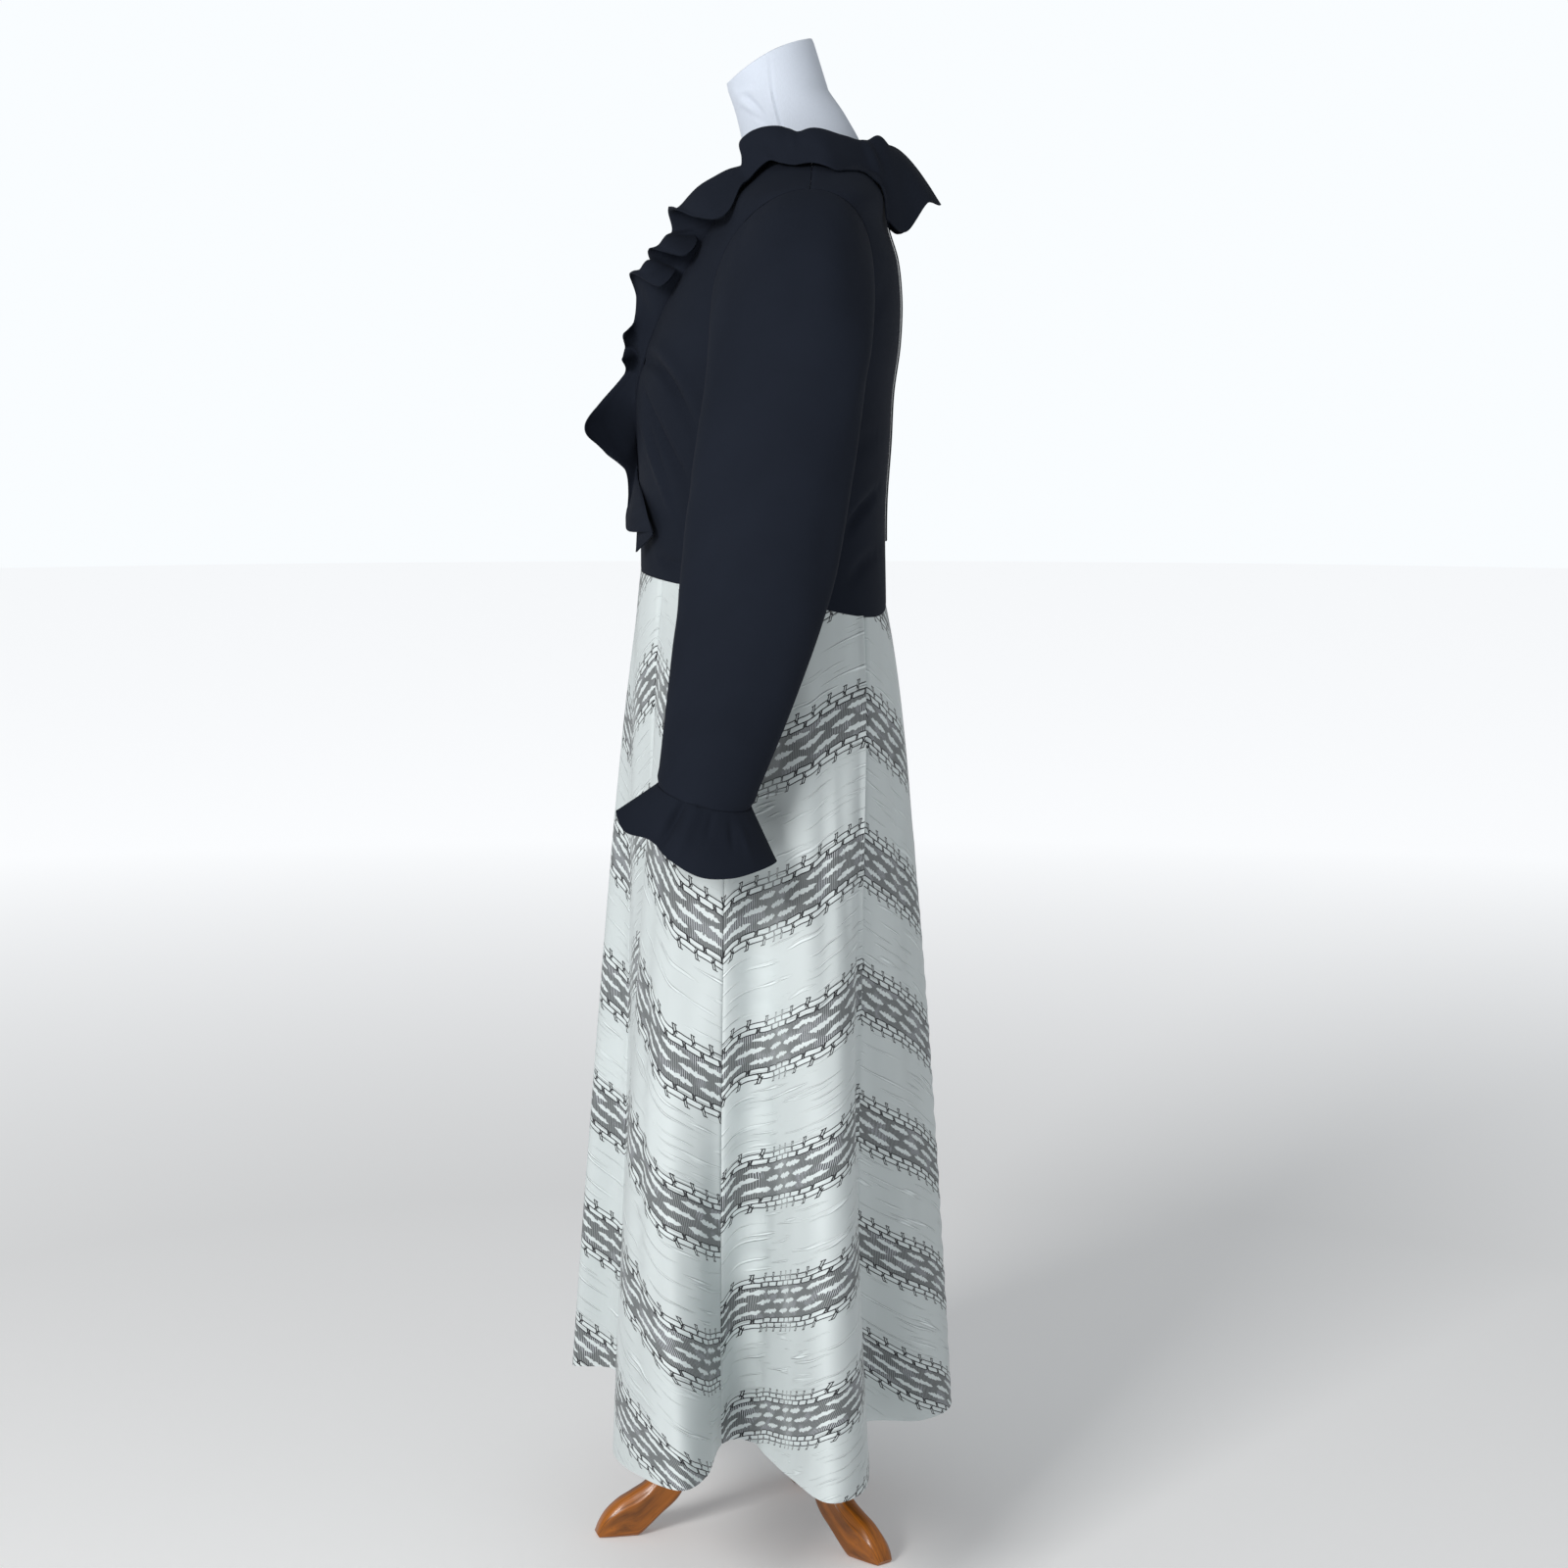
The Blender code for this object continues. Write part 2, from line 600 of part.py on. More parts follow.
def neck_flounce(steps=74, rows=5):
    """Middle face of the left neck flounce: a curve from the neck seam over the ridge to the waved edge."""
    along = np.linspace(0, NECK_WAVES[-1, 0], steps + 1)
    root, lift = neck_seam(along)
    root = root + lift * FLOUNCE_LIFT
    ridge = smooth_curve(NECK_RIDGE[:, 0], NECK_RIDGE[:, 1:], along)
    edge = smooth_curve(NECK_WAVES[:, 0], NECK_WAVES[:, 1:], along)
    part = np.linspace(0, 1, rows + 1)[:, None, None]
    mid = NECK_RIDGE_PART
    face = (root * (part - mid) * (part - 1) / mid + ridge * part * (part - 1) / (mid * (mid - 1))
            + edge * part * (part - mid) / (1 - mid))
    face = pushed_out(face)
    face[..., 0] = np.maximum(face[..., 0], 0.0012)
    return face


def flounce(name, middle, closed, look):
    """Cloth wall to both sides of a middle face."""
    normal = face_normals(middle, closed)
    half = FLOUNCE_CLOTH / 2
    return wall(name, middle + half * normal, middle - half * normal, closed, look)


def skirt_row_weights(down):
    """Shares of the waist, the middle and the hem at each part of the way down."""
    mid = (WAIST_Z - MID_SKIRT_Z) / (WAIST_Z - HEM_Z)
    waist = (down - mid) * (down - 1) / mid
    middle = down * (down - 1) / (mid * (mid - 1))
    hem = down * (down - mid) / (1 - mid)
    return waist, middle, hem


def skirt(fold, down):
    """Point of the skirt at a fold number and a part of the way from waist to hem."""
    count = len(SKIRT_FOLDS)
    keys = np.arange(-2, count + 3)
    table = SKIRT_FOLDS[keys % count].copy()
    table[:, 0] += 360.0 * (keys // count)
    row = smooth_curve(keys, table, fold)
    angle = np.radians(row[..., 0])
    top = torso(angle, np.full_like(angle, WAIST_Z))
    waist, middle, hem = skirt_row_weights(down)
    bump = (down / HIP_PLACE) * np.exp(1 - down / HIP_PLACE) * (1 - down)
    x = waist * top[..., 0] + middle * row[..., 1] + hem * row[..., 3] + HIP_SWELL * bump * np.sin(angle)
    y = waist * top[..., 1] + middle * row[..., 2] + hem * row[..., 4] - HIP_SWELL * bump * np.cos(angle)
    start = WAIST_Z + waist_rise(angle) - SEAM_GAP / 2
    z = start + (HEM_Z - start) * down
    return np.stack([x, y, z], axis=-1)


def skirt_faces():
    """Outer and inner face of the whole skirt, and the direction round it: rows down, columns round."""
    count = len(SKIRT_FOLDS) * FOLD_STEPS
    fold = np.arange(count)[None, :] / FOLD_STEPS + np.zeros((SKIRT_ROWS + 1, 1))
    down = np.linspace(0, 1, SKIRT_ROWS + 1)[:, None] + np.zeros((1, count))
    outer = skirt(fold, down)
    round_it = np.roll(outer, -1, axis=1) - np.roll(outer, 1, axis=1)
    round_it = round_it / np.linalg.norm(round_it, axis=2, keepdims=True)
    inner = outer - CLOTH * face_normals(outer, True)
    return outer, inner, round_it


def gore(name, faces, first, last, look):
    """One gore, cut from the skirt's faces and drawn in by half a seam gap at both edges."""
    outer, inner, round_it = faces
    picked = np.arange(first * FOLD_STEPS, last * FOLD_STEPS + 1) % outer.shape[1]
    shift = np.zeros(len(picked))
    shift[0] = SEAM_GAP / 2
    shift[-1] = -SEAM_GAP / 2
    move = round_it[:, picked] * shift[None, :, None]
    return wall(name, outer[:, picked] + move, inner[:, picked] + move, False, look)


def form_ring(z, count):
    """Section of the dress form: the torso inside the cloth, blended with the neck."""
    turn = np.arange(count) * 2 * math.pi / count
    # The torso part, moved in under the cloth
    inside = np.interp(z, [0.80, 1.05, 1.20, 1.32, 1.385, 1.405], [0.014, 0.012, 0.010, 0.007, 0.0062, 0.0092])
    raised = min(z + np.interp(z, [1.30, 1.38], [0.0, 0.0062]), NECK_POINT_Z)
    half, front, back, centre = torso_row(np.array(max(raised, TORSO[0, 0])))
    hips = np.interp(z, [FORM_BOTTOM_Z, 0.94], [0.022, 0.0])
    half = half - inside + hips
    front = front - inside + hips * 0.4
    back = back - inside + hips * 0.8
    fade = np.interp(z, [NECK_POINT_Z - 0.012, NECK_POINT_Z + 0.004], [1.0, 0.0])
    middle = smooth_curve(FORM_NECK[:, 0], FORM_NECK[:, 1:], z) if z > FORM_NECK[0, 0] else None
    sine = np.sin(turn)
    cosine = np.cos(turn)
    depth = np.where(cosine > 0, front, back)
    reach = (np.abs(sine / half) ** TORSO_POWER + np.abs(cosine / depth) ** TORSO_POWER) ** (-1 / TORSO_POWER)
    reach = reach * fade + 1e-4
    if middle is not None:
        shift = centre - middle[0]
        wide, deep = middle[1:]
        # Distance from the torso's centre to the neck's oval along each direction
        a = (sine / wide) ** 2 + (cosine / deep) ** 2
        b = -2 * shift * cosine / deep ** 2
        c = shift ** 2 / deep ** 2 - 1
        neck = (-b + np.sqrt(np.maximum(b * b - 4 * a * c, 0))) / (2 * a)
        reach = (reach ** 14 + neck ** 14) ** (1 / 14)
    return np.stack([reach * sine, centre - reach * cosine, np.full(count, float(z))], axis=-1)


def dress_form(look):
    """Torso and neck of the form as one closed solid."""
    count = 28
    heights = np.concatenate([
        np.linspace(FORM_BOTTOM_Z, 1.30, 11),
        [1.33, 1.355, 1.372, 1.381, 1.387, 1.394, 1.402, 1.411, 1.420, 1.430, 1.445, 1.462, 1.480],
        [FORM_TOP_FRONT_Z + 0.012],
    ])
    rings = np.stack([form_ring(z, count) for z in heights])
    back = rings[-1, :, 1] - rings[-1, :, 1].min()
    rings[-1, :, 2] = FORM_TOP_FRONT_Z + FORM_TOP_SLOPE * back + FORM_TOP_CROWN * np.sin(math.pi * back / back.max())
    rings[-1, :, 1] -= FORM_TOP_LEAN * (rings[-1, :, 2] - heights[-1])
    top = rings[-1].mean(axis=0) + np.array((0.0, 0.0, FORM_TOP_CROWN))
    points = np.concatenate([rings.reshape(-1, 3), top[None, :]])
    faces = quads(0, len(rings), count, True, False)
    faces.append(tuple(reversed(range(count))))
    last = count * (len(rings) - 1)
    for index in range(count):
        faces.append((last + index, last + (index + 1) % count, last + count))
    return solid("form_body", points, faces, look)


def turned(name, profile, look, count=16):
    """Solid turned about the z axis from a list of radius and height, lowest first."""
    turn = np.arange(count) * 2 * math.pi / count
    rings = [np.stack([r * np.cos(turn), r * np.sin(turn), np.full(count, z)], axis=-1) for r, z in profile]
    faces = quads(0, len(profile), count, True, False)
    faces.append(tuple(reversed(range(count))))
    faces.append(tuple(range(count * (len(profile) - 1), count * len(profile))))
    return solid(name, np.concatenate(rings), faces, look)


def leg(name, degrees, look):
    """Curved wooden leg: its top edge, its lower edge and a rounded oblong section."""
    # Distance from the axis and height of the upper and the lower edge
    edges = np.array([
        (0.0343, 0.290, 0.0343, 0.205),
        (0.054, 0.282, 0.047, 0.198),
        (0.071, 0.240, 0.055, 0.166),
        (0.084, 0.185, 0.064, 0.120),
        (0.098, 0.125, 0.078, 0.074),
        (0.111, 0.082, 0.093, 0.041),
        (0.125, 0.057, 0.114, 0.021),
        (0.142, 0.0455, 0.138, 0.000),
        (0.157, 0.037, 0.151, 0.000),
        (0.170, 0.0255, 0.164, 0.000),
        (0.1775, 0.014, 0.173, 0.000),
        (0.1816, 0.004, 0.179, 0.000),
    ])
    width = np.full(len(edges), LEG_HALF_WIDTH)
    width[-4:] = (0.0135, 0.0130, 0.0115, 0.0095)
    upper = edges[:, 0:2]
    lower = edges[:, 2:4]
    # Section corners: share of the way from the lower to the upper edge, and share of the half width
    corners = ((0.0, -0.8), (0.0, 0.8), (0.12, 1.0), (0.78, 1.0), (1.0, 0.55), (1.0, -0.55), (0.78, -1.0), (0.12, -1.0))
    turn = math.radians(degrees)
    away = np.array((math.cos(turn), math.sin(turn)))
    aside = np.array((-math.sin(turn), math.cos(turn)))
    rings = []
    for index in range(len(edges)):
        ring = []
        for height, spread in corners:
            radius, z = lower[index] + (upper[index] - lower[index]) * height
            flat = away * radius + aside * spread * width[index]
            ring.append((flat[0], flat[1], z))
        rings.append(ring)
    count = len(corners)
    faces = quads(0, len(edges), count, True, False)
    faces.append(tuple(reversed(range(count))))
    faces.append(tuple(range(count * (len(edges) - 1), count * len(edges))))
    return solid(name, np.array(rings).reshape(-1, 3), faces, look)


def placket(back, look):
    """Lapped strip over the zip, moved out from the left back beside the centre seam."""
    rows = back[2:15, :2].copy()
    aside = rows[:, 1] - rows[:, 0]
    aside = aside / np.linalg.norm(aside, axis=1, keepdims=True)
    strip = np.stack([rows[:, 0] + aside * share for share in (0.0004, 0.008, 0.016)], axis=1)
    normal = face_normals(strip, False)
    side = 1 if normal[0, 0, 1] > 0 else -1
    low = strip + side * normal * (SEAM_GAP + 0.0004)
    return wall("back_placket", low + side * normal * CLOTH, low, False, look)


def build():
    """Make every piece."""
    clear_scene()
    crepe = material("black_crepe", (0.013, 0.016, 0.024), 0.75)
    jacquard = material("white_jacquard", (0.62, 0.66, 0.66), 0.7)
    jersey = material("white_jersey", (0.74, 0.79, 0.90), 0.8)
    wood = material("brown_wood", (0.25, 0.10, 0.02), 0.35)

    front = bodice_front()
    back = bodice_back()
    panel("bodice_front_left", front, crepe)
    panel("bodice_front_right", mirrored(front), crepe)
    panel("bodice_back_left", back, crepe)
    panel("bodice_back_right", mirrored(back), crepe)
    placket(back, crepe)

    arm = sleeve()
    cloth("sleeve_left", arm, CLOTH, crepe, -1)
    cloth("sleeve_right", mirrored(arm), CLOTH, crepe, 1)
    cuff = cuff_flounce()
    cloth("cuff_flounce_left", cuff, FLOUNCE_CLOTH, crepe, 1)
    cloth("cuff_flounce_right", mirrored(cuff), FLOUNCE_CLOTH, crepe, -1)

    collar = neck_flounce()
    flounce("neck_flounce_left", collar, False, crepe)
    flounce("neck_flounce_right", mirrored(collar), False, crepe)

    faces = skirt_faces()
    for name, first, last in GORES:
        gore(name, faces, first, last, jacquard)

    dress_form(jersey)
    turned("form_pole", [(POLE_RADIUS, HUB_HIGH_Z + SEAM_GAP), (POLE_RADIUS, FORM_BOTTOM_Z - SEAM_GAP)], wood)
    turned("form_hub", [(0.024, HUB_LOW_Z), (HUB_RADIUS, HUB_LOW_Z + 0.012), (HUB_RADIUS, HUB_HIGH_Z - 0.012),
                        (0.022, HUB_HIGH_Z)], wood, 36)
    for name, degrees in LEG_ANGLES:
        leg(name, degrees, wood)


build()
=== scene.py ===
"""Looks of the maxi dress on its dress form.

Every sheet of the dress is a surface worked out from the same sections as the
solids, on a finer grid, with its listed creases, seam grooves and hems put in.
Metres, +Z up. The dress faces -Y and the wearer's left side is +X.
"""

import math

import bpy
import numpy as np
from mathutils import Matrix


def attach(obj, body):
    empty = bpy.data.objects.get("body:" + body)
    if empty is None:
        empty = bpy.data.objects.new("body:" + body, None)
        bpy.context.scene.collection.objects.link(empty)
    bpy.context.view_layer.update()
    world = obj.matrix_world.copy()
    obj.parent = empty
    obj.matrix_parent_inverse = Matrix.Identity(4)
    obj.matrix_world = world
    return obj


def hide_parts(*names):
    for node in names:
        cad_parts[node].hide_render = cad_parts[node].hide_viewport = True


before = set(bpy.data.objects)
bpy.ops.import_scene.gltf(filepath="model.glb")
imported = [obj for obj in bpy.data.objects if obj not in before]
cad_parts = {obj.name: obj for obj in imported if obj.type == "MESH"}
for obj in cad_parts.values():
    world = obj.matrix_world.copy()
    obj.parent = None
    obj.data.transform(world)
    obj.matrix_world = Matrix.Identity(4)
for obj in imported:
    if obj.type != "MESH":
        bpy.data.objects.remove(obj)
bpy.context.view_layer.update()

bl_info = {
    "name": "Maxi Dress on a Dress Form",
    "version": (1, 0, 0),
    "blender": (4, 5, 0),
    "location": "3D View > Sidebar > Dress",
    "description": "Sheets, trims, form and stand of a crepe and jacquard maxi dress",
    "category": "Object",
}

# Shift of every piece, the same as the solids have
PLACE = np.array((0.0, 0.0075, 0.0))

# Places of the dress
SEAM_GAP = 0.0003
SHOULDER_GAP_ANGLE = 0.0015
CENTRE_GAP_ANGLE = 0.0006
WAIST_Z = 0.991
WAIST_TILT = -0.14
WAIST_SAG = 0.009
HEM_Z = 0.158
MID_SKIRT_Z = 0.478
V_BOTTOM_Z = 1.098
NECK_POINT_Z = 1.4296
BACK_NECK_Z = 1.4226
NECK_HALF = 0.090
V_CURVE = 1.35
FLOUNCE_LAP = 0.003
FLOUNCE_LIFT = 0.0010
FLOUNCE_TUCK = 0.0006
HALF_COLLAR_GAP = 0.0004
CHEST_CLEAR = 0.0011
SHOULDER_CLEAR = 0.0021
CHEST_TOP_Z = 1.35
SHOULDER_LOW_Z = 1.34
COLLAR_NECK_X = 0.05
COLLAR_RISING_ROWS = 4
COLLAR_BACK_ANGLE = 0.006
ARMHOLE_Y = 0.028
ARMHOLE_Z = 1.298
ARMHOLE_HALF_Y = 0.076
ARMHOLE_HALF_Z = 0.090
ARMHOLE_LEAN = 0.017
SIDE_SEAM_WAIST_Y = -0.020

# Torso sections: height, half width, depth to the front and to the back of a centre line
TORSO_POWER = 2.4
TORSO = np.array([
    (0.940, 0.152, 0.127, 0.125, 0.000),
    (0.988, 0.150, 0.126, 0.124, 0.000),
    (1.078, 0.160, 0.1265, 0.1235, 0.000),
    (1.138, 0.171, 0.1285, 0.1275, 0.000),
    (1.188, 0.178, 0.1310, 0.1280, 0.002),
    (1.238, 0.183, 0.1260, 0.1275, 0.009),
    (1.288, 0.187, 0.1140, 0.1195, 0.018),
    (1.322, 0.189, 0.1010, 0.1080, 0.0255),
    (1.355, 0.190, 0.0905, 0.0900, 0.034),
    (1.386, 0.187, 0.0790, 0.0780, 0.0445),
    (1.397, 0.165, 0.0690, 0.0725, 0.046),
    (1.412, 0.130, 0.0600, 0.0660, 0.047),
    (1.4296, 0.090, 0.0520, 0.0600, 0.047),
])

# Sleeve sections: height, centre x and y, half depth, half width, fall to the back and to the outer side
SLEEVE = np.array([
    (1.189, 0.2325, 0.0200, 0.0777, 0.0460, 0.00, 0.00),
    (1.100, 0.2380, 0.0064, 0.0775, 0.0460, 0.00, 0.00),
    (1.013, 0.2470, -0.0060, 0.0740, 0.0450, 0.02, 0.02),
    (0.913, 0.2610, -0.0290, 0.0615, 0.0430, 0.10, 0.08),
    (0.813, 0.2800, -0.0560, 0.0450, 0.0420, 0.25, 0.15),
])

# Cuff flounce, outer edge seen from the cuff's centre: angle from the back, x, y, z
CUFF_WAVES = np.array([
    (0, 0.002, 0.069, -0.063),
    (35, 0.040, 0.055, -0.066),
    (70, 0.062, 0.025, -0.071),
    (100, 0.068, -0.005, -0.068),
    (130, 0.055, -0.035, -0.052),
    (150, 0.040, -0.052, -0.037),
    (168, 0.030, -0.076, -0.030),
    (185, 0.005, -0.084, -0.014),
    (205, -0.018, -0.064, -0.034),
    (230, -0.035, -0.046, -0.050),
    (260, -0.046, -0.015, -0.064),
    (290, -0.044, 0.020, -0.068),
    (325, -0.030, 0.050, -0.065),
])

# Neck flounce, outer edge: length along the neck seam from the centre back, x, y, z
NECK_WAVES = np.array([
    (0.000, 0.002, 0.178, 1.376),
    (0.022, 0.035, 0.163, 1.377),
    (0.040, 0.062, 0.142, 1.349),
    (0.060, 0.088, 0.124, 1.358),
    (0.078, 0.118, 0.096, 1.388),
    (0.095, 0.145, 0.069, 1.407),
    (0.110, 0.140, 0.048, 1.414),
    (0.125, 0.136, 0.030, 1.412),
    (0.139, 0.132, 0.018, 1.414),
    (0.150, 0.122, 0.006, 1.417),
    (0.160, 0.118, -0.005, 1.409),
    (0.168, 0.118, -0.013, 1.400),
    (0.178, 0.124, -0.022, 1.392),
    (0.190, 0.146, -0.032, 1.370),
    (0.205, 0.150, -0.046, 1.360),
    (0.218, 0.130, -0.065, 1.362),
    (0.232, 0.085, -0.093, 1.373),
    (0.246, 0.050, -0.083, 1.357),
    (0.262, 0.095, -0.066, 1.339),
    (0.275, 0.115, -0.079, 1.325),
    (0.288, 0.078, -0.112, 1.332),
    (0.302, 0.036, -0.109, 1.317),
    (0.316, 0.085, -0.088, 1.311),
    (0.328, 0.103, -0.102, 1.295),
    (0.342, 0.066, -0.132, 1.308),
    (0.358, 0.028, -0.128, 1.283),
    (0.374, 0.044, -0.131, 1.256),
    (0.388, 0.062, -0.140, 1.247),
    (0.402, 0.030, -0.140, 1.233),
    (0.414, 0.050, -0.142, 1.222),
    (0.426, 0.022, -0.140, 1.210),
    (0.452, 0.060, -0.179, 1.157),
    (0.474, 0.040, -0.161, 1.130),
    (0.486, 0.018, -0.140, 1.108),
    (0.494, 0.014, -0.138, 1.085),
    (0.502, 0.020, -0.140, 1.059),
    (0.509, 0.070, -0.134, 1.051),
    (0.515, 0.112, -0.110, 1.053),
    (0.522, 0.074, -0.128, 1.031),
])

# Neck flounce, the ridge over which it rolls: length along the neck seam, x, y, z
NECK_RIDGE_PART = 0.42
NECK_RIDGE = np.array([
    (0.000, 0.002, 0.130, 1.434),
    (0.030, 0.046, 0.124, 1.434),
    (0.046, 0.065, 0.116, 1.440),
    (0.060, 0.080, 0.104, 1.434),
    (0.085, 0.104, 0.078, 1.441),
    (0.110, 0.116, 0.046, 1.448),
    (0.121, 0.114, 0.031, 1.444),
    (0.132, 0.111, 0.015, 1.450),
    (0.150, 0.102, -0.014, 1.443),
    (0.157, 0.099, -0.0215, 1.435),
    (0.164, 0.097, -0.019, 1.423),
    (0.170, 0.096, -0.020, 1.414),
    (0.178, 0.094, -0.034, 1.409),
    (0.190, 0.094, -0.048, 1.402),
    (0.205, 0.092, -0.064, 1.392),
    (0.218, 0.084, -0.074, 1.380),
    (0.232, 0.074, -0.080, 1.365),
    (0.246, 0.066, -0.085, 1.350),
    (0.262, 0.080, -0.095, 1.345),
    (0.275, 0.078, -0.100, 1.338),
    (0.288, 0.068, -0.103, 1.328),
    (0.302, 0.058, -0.105, 1.312),
    (0.316, 0.066, -0.115, 1.318),
    (0.328, 0.066, -0.120, 1.312),
    (0.342, 0.056, -0.120, 1.300),
    (0.358, 0.044, -0.118, 1.280),
    (0.388, 0.042, -0.128, 1.245),
    (0.426, 0.026, -0.128, 1.205),
    (0.452, 0.036, -0.152, 1.165),
    (0.474, 0.026, -0.140, 1.128),
    (0.492, 0.012, -0.130, 1.105),
    (0.502, 0.020, -0.134, 1.085),
    (0.509, 0.050, -0.130, 1.085),
    (0.515, 0.072, -0.122, 1.088),
    (0.522, 0.050, -0.127, 1.070),
])

# Creases of the left neck flounce: three points of the path, half width, depth
COLLAR_CREASES = (
    (((0.082, 0.100, 1.440), (0.098, 0.119, 1.424), (0.100, 0.136, 1.404)), 0.006, 0.0045),
    (((0.108, 0.024, 1.450), (0.122, 0.028, 1.436), (0.130, 0.031, 1.422)), 0.006, 0.0025),
)

# Folds of the skirt from the centre front over the wearer's left side:
# angle at the waist, x and y half way down, x and y at the hem
SKIRT_FOLDS = np.array([
    (0, -0.016, -0.142, -0.030, -0.160),
    (20, 0.065, -0.134, 0.085, -0.143),
    (39, 0.130, -0.118, 0.165, -0.134),
    (50, 0.190, -0.132, 0.246, -0.149),
    (58, 0.245, -0.120, 0.322, -0.127),
    (65, 0.277, -0.092, 0.380, -0.079),
    (71, 0.270, -0.066, 0.330, -0.054),
    (79, 0.257, -0.040, 0.232, -0.041),
    (90, 0.246, -0.006, 0.230, -0.013),
    (103, 0.284, 0.034, 0.330, 0.022),
    (112, 0.299, 0.058, 0.4155, 0.060),
    (119, 0.290, 0.077, 0.386, 0.094),
    (127, 0.256, 0.088, 0.300, 0.103),
    (141, 0.195, 0.092, 0.165, 0.098),
    (154, 0.140, 0.137, 0.152, 0.160),
    (167, 0.070, 0.166, 0.098, 0.191),
    (180, 0.000, 0.163, 0.000, 0.178),
    (193, -0.075, 0.165, -0.100, 0.190),
    (206, -0.145, 0.139, -0.165, 0.165),
    (219, -0.195, 0.095, -0.185, 0.105),
    (233, -0.254, 0.089, -0.300, 0.107),
    (241, -0.288, 0.078, -0.385, 0.096),
    (248, -0.298, 0.058, -0.416, 0.062),
    (257, -0.284, 0.034, -0.335, 0.022),
    (270, -0.250, -0.006, -0.245, -0.011),
    (281, -0.238, -0.040, -0.232, -0.042),
    (289, -0.262, -0.064, -0.335, -0.053),
    (296, -0.279, -0.092, -0.371, -0.088),
    (303, -0.247, -0.118, -0.322, -0.129),
    (310, -0.195, -0.130, -0.250, -0.150),
    (321, -0.135, -0.135, -0.165, -0.150),
    (340, -0.046, -0.177, -0.052, -0.205),
])
HIP_SWELL = 0.010
HIP_PLACE = 0.28

# Gores: node, first and last fold, 1 where the low point of its bands is at the last fold, and their kind
GORES = (
    ("gore_front_left", 0, 2, 0, "front"),
    ("gore_side_front_left", 2, 7, 1, "side_front"),
    ("gore_side_back_left", 7, 13, 0, "side_back"),
    ("gore_back_left", 13, 16, 1, "back"),
    ("gore_back_right", 16, 19, 0, "back"),
    ("gore_side_back_right", 19, 25, 1, "side_back"),
    ("gore_side_front_right", 25, 30, 0, "side_front"),
    ("gore_front_right", 30, 32, 1, "front"),
)

# Soft folds put into the gores: path in fold number and share of the way down, half width, depth
GORE_CREASES = {
    "gore_front_left": ((((0.5, 0.05), (0.6, 0.35), (0.6, 0.70)), 0.012, 0.003),),
    "gore_side_front_left": (
        (((5.9, 0.22), (5.9, 0.60), (5.85, 1.08)), 0.020, -0.004),
        (((3.9, 0.30), (4.0, 0.60), (4.1, 1.05)), 0.014, 0.005)),
    "gore_side_back_left": (
        (((8.0, 0.10), (8.0, 0.55), (8.0, 1.10)), 0.018, 0.010),
        (((9.6, 0.30), (9.7, 0.60), (9.7, 1.05)), 0.022, -0.003),
        (((11.2, 0.02), (11.5, 0.22), (11.9, 0.45)), 0.010, 0.003)),
    "gore_back_left": (
        (((14.2, 0.02), (14.3, 0.30), (14.3, 0.62)), 0.012, 0.003),
        (((15.2, 0.30), (15.2, 0.65), (15.2, 1.04)), 0.018, -0.004)),
    "gore_back_right": ((((17.3, 0.10), (17.4, 0.45), (17.5, 0.85)), 0.016, 0.004),),
    "gore_side_back_right": (
        (((23.9, 0.12), (24.0, 0.55), (24.0, 1.08)), 0.020, 0.008),
        (((21.0, 0.35), (21.2, 0.65), (21.2, 1.05)), 0.018, -0.003)),
    "gore_side_front_right": (
        (((26.2, 0.25), (26.3, 0.60), (26.3, 1.06)), 0.018, -0.004),
        (((28.4, 0.25), (28.5, 0.60), (28.4, 1.05)), 0.016, 0.005)),
    "gore_front_right": ((((30.6, 0.10), (30.6, 0.50), (30.6, 1.00)), 0.014, 0.003),),
}

# Places of the bands' upper edges down a gore's low seam and down its high seam: band number n lies
# at a + b n + c n n. Then the share of the gore's width, from the low seam, at which the motifs are
# drawn together
BAND_PLACES = {
    "front": ((0.0047, 0.1423, -0.0009), (-0.0809, 0.1484, -0.0028), 0.55),
    "side_front": ((-0.0061, 0.1642, -0.0032), (-0.0809, 0.1484, -0.0028), 0.80),
    "side_back": ((0.0110, 0.1548, -0.0032), (-0.0809, 0.1484, -0.0028), 0.285),
    "back": ((-0.0061, 0.1642, -0.0032), (-0.0739, 0.1484, -0.0028), 0.22),
}
# Rise of the bands across a gore: share of its width from the low seam, share of the rise high up
# and low down
BAND_RISES = {
    "front": ((0.0, 0.0, 0.0), (0.25, 0.24, 0.22), (0.5, 0.5, 0.48), (0.75, 0.76, 0.75), (1.0, 1.0, 1.0)),
    "side_front": ((0.0, 0.0, 0.0), (0.10, 0.085, 0.02), (0.20, 0.165, 0.045), (0.30, 0.27, 0.085),
                   (0.35, 0.37, 0.11), (0.40, 0.46, 0.187), (0.45, 0.54, 0.27), (0.50, 0.60, 0.34),
                   (0.55, 0.67, 0.38), (0.62, 0.75, 0.46), (0.70, 0.82, 0.56), (0.85, 0.92, 0.78),
                   (1.0, 1.0, 1.0)),
    "side_back": ((0.0, 0.0, 0.0), (0.05, 0.10, 0.20), (0.10, 0.165, 0.31), (0.15, 0.215, 0.38),
                  (0.22, 0.28, 0.425), (0.30, 0.35, 0.46), (0.38, 0.405, 0.50), (0.45, 0.475, 0.54),
                  (0.50, 0.52, 0.61), (0.55, 0.583, 0.715), (0.60, 0.66, 0.80), (0.68, 0.76, 0.93),
                  (0.77, 0.85, 1.0), (1.0, 1.0, 1.0)),
    "back": ((0.0, 0.0, 0.0), (0.25, 0.36, 0.36), (0.5, 0.66, 0.62), (0.75, 0.85, 0.79), (1.0, 1.0, 1.0)),
}

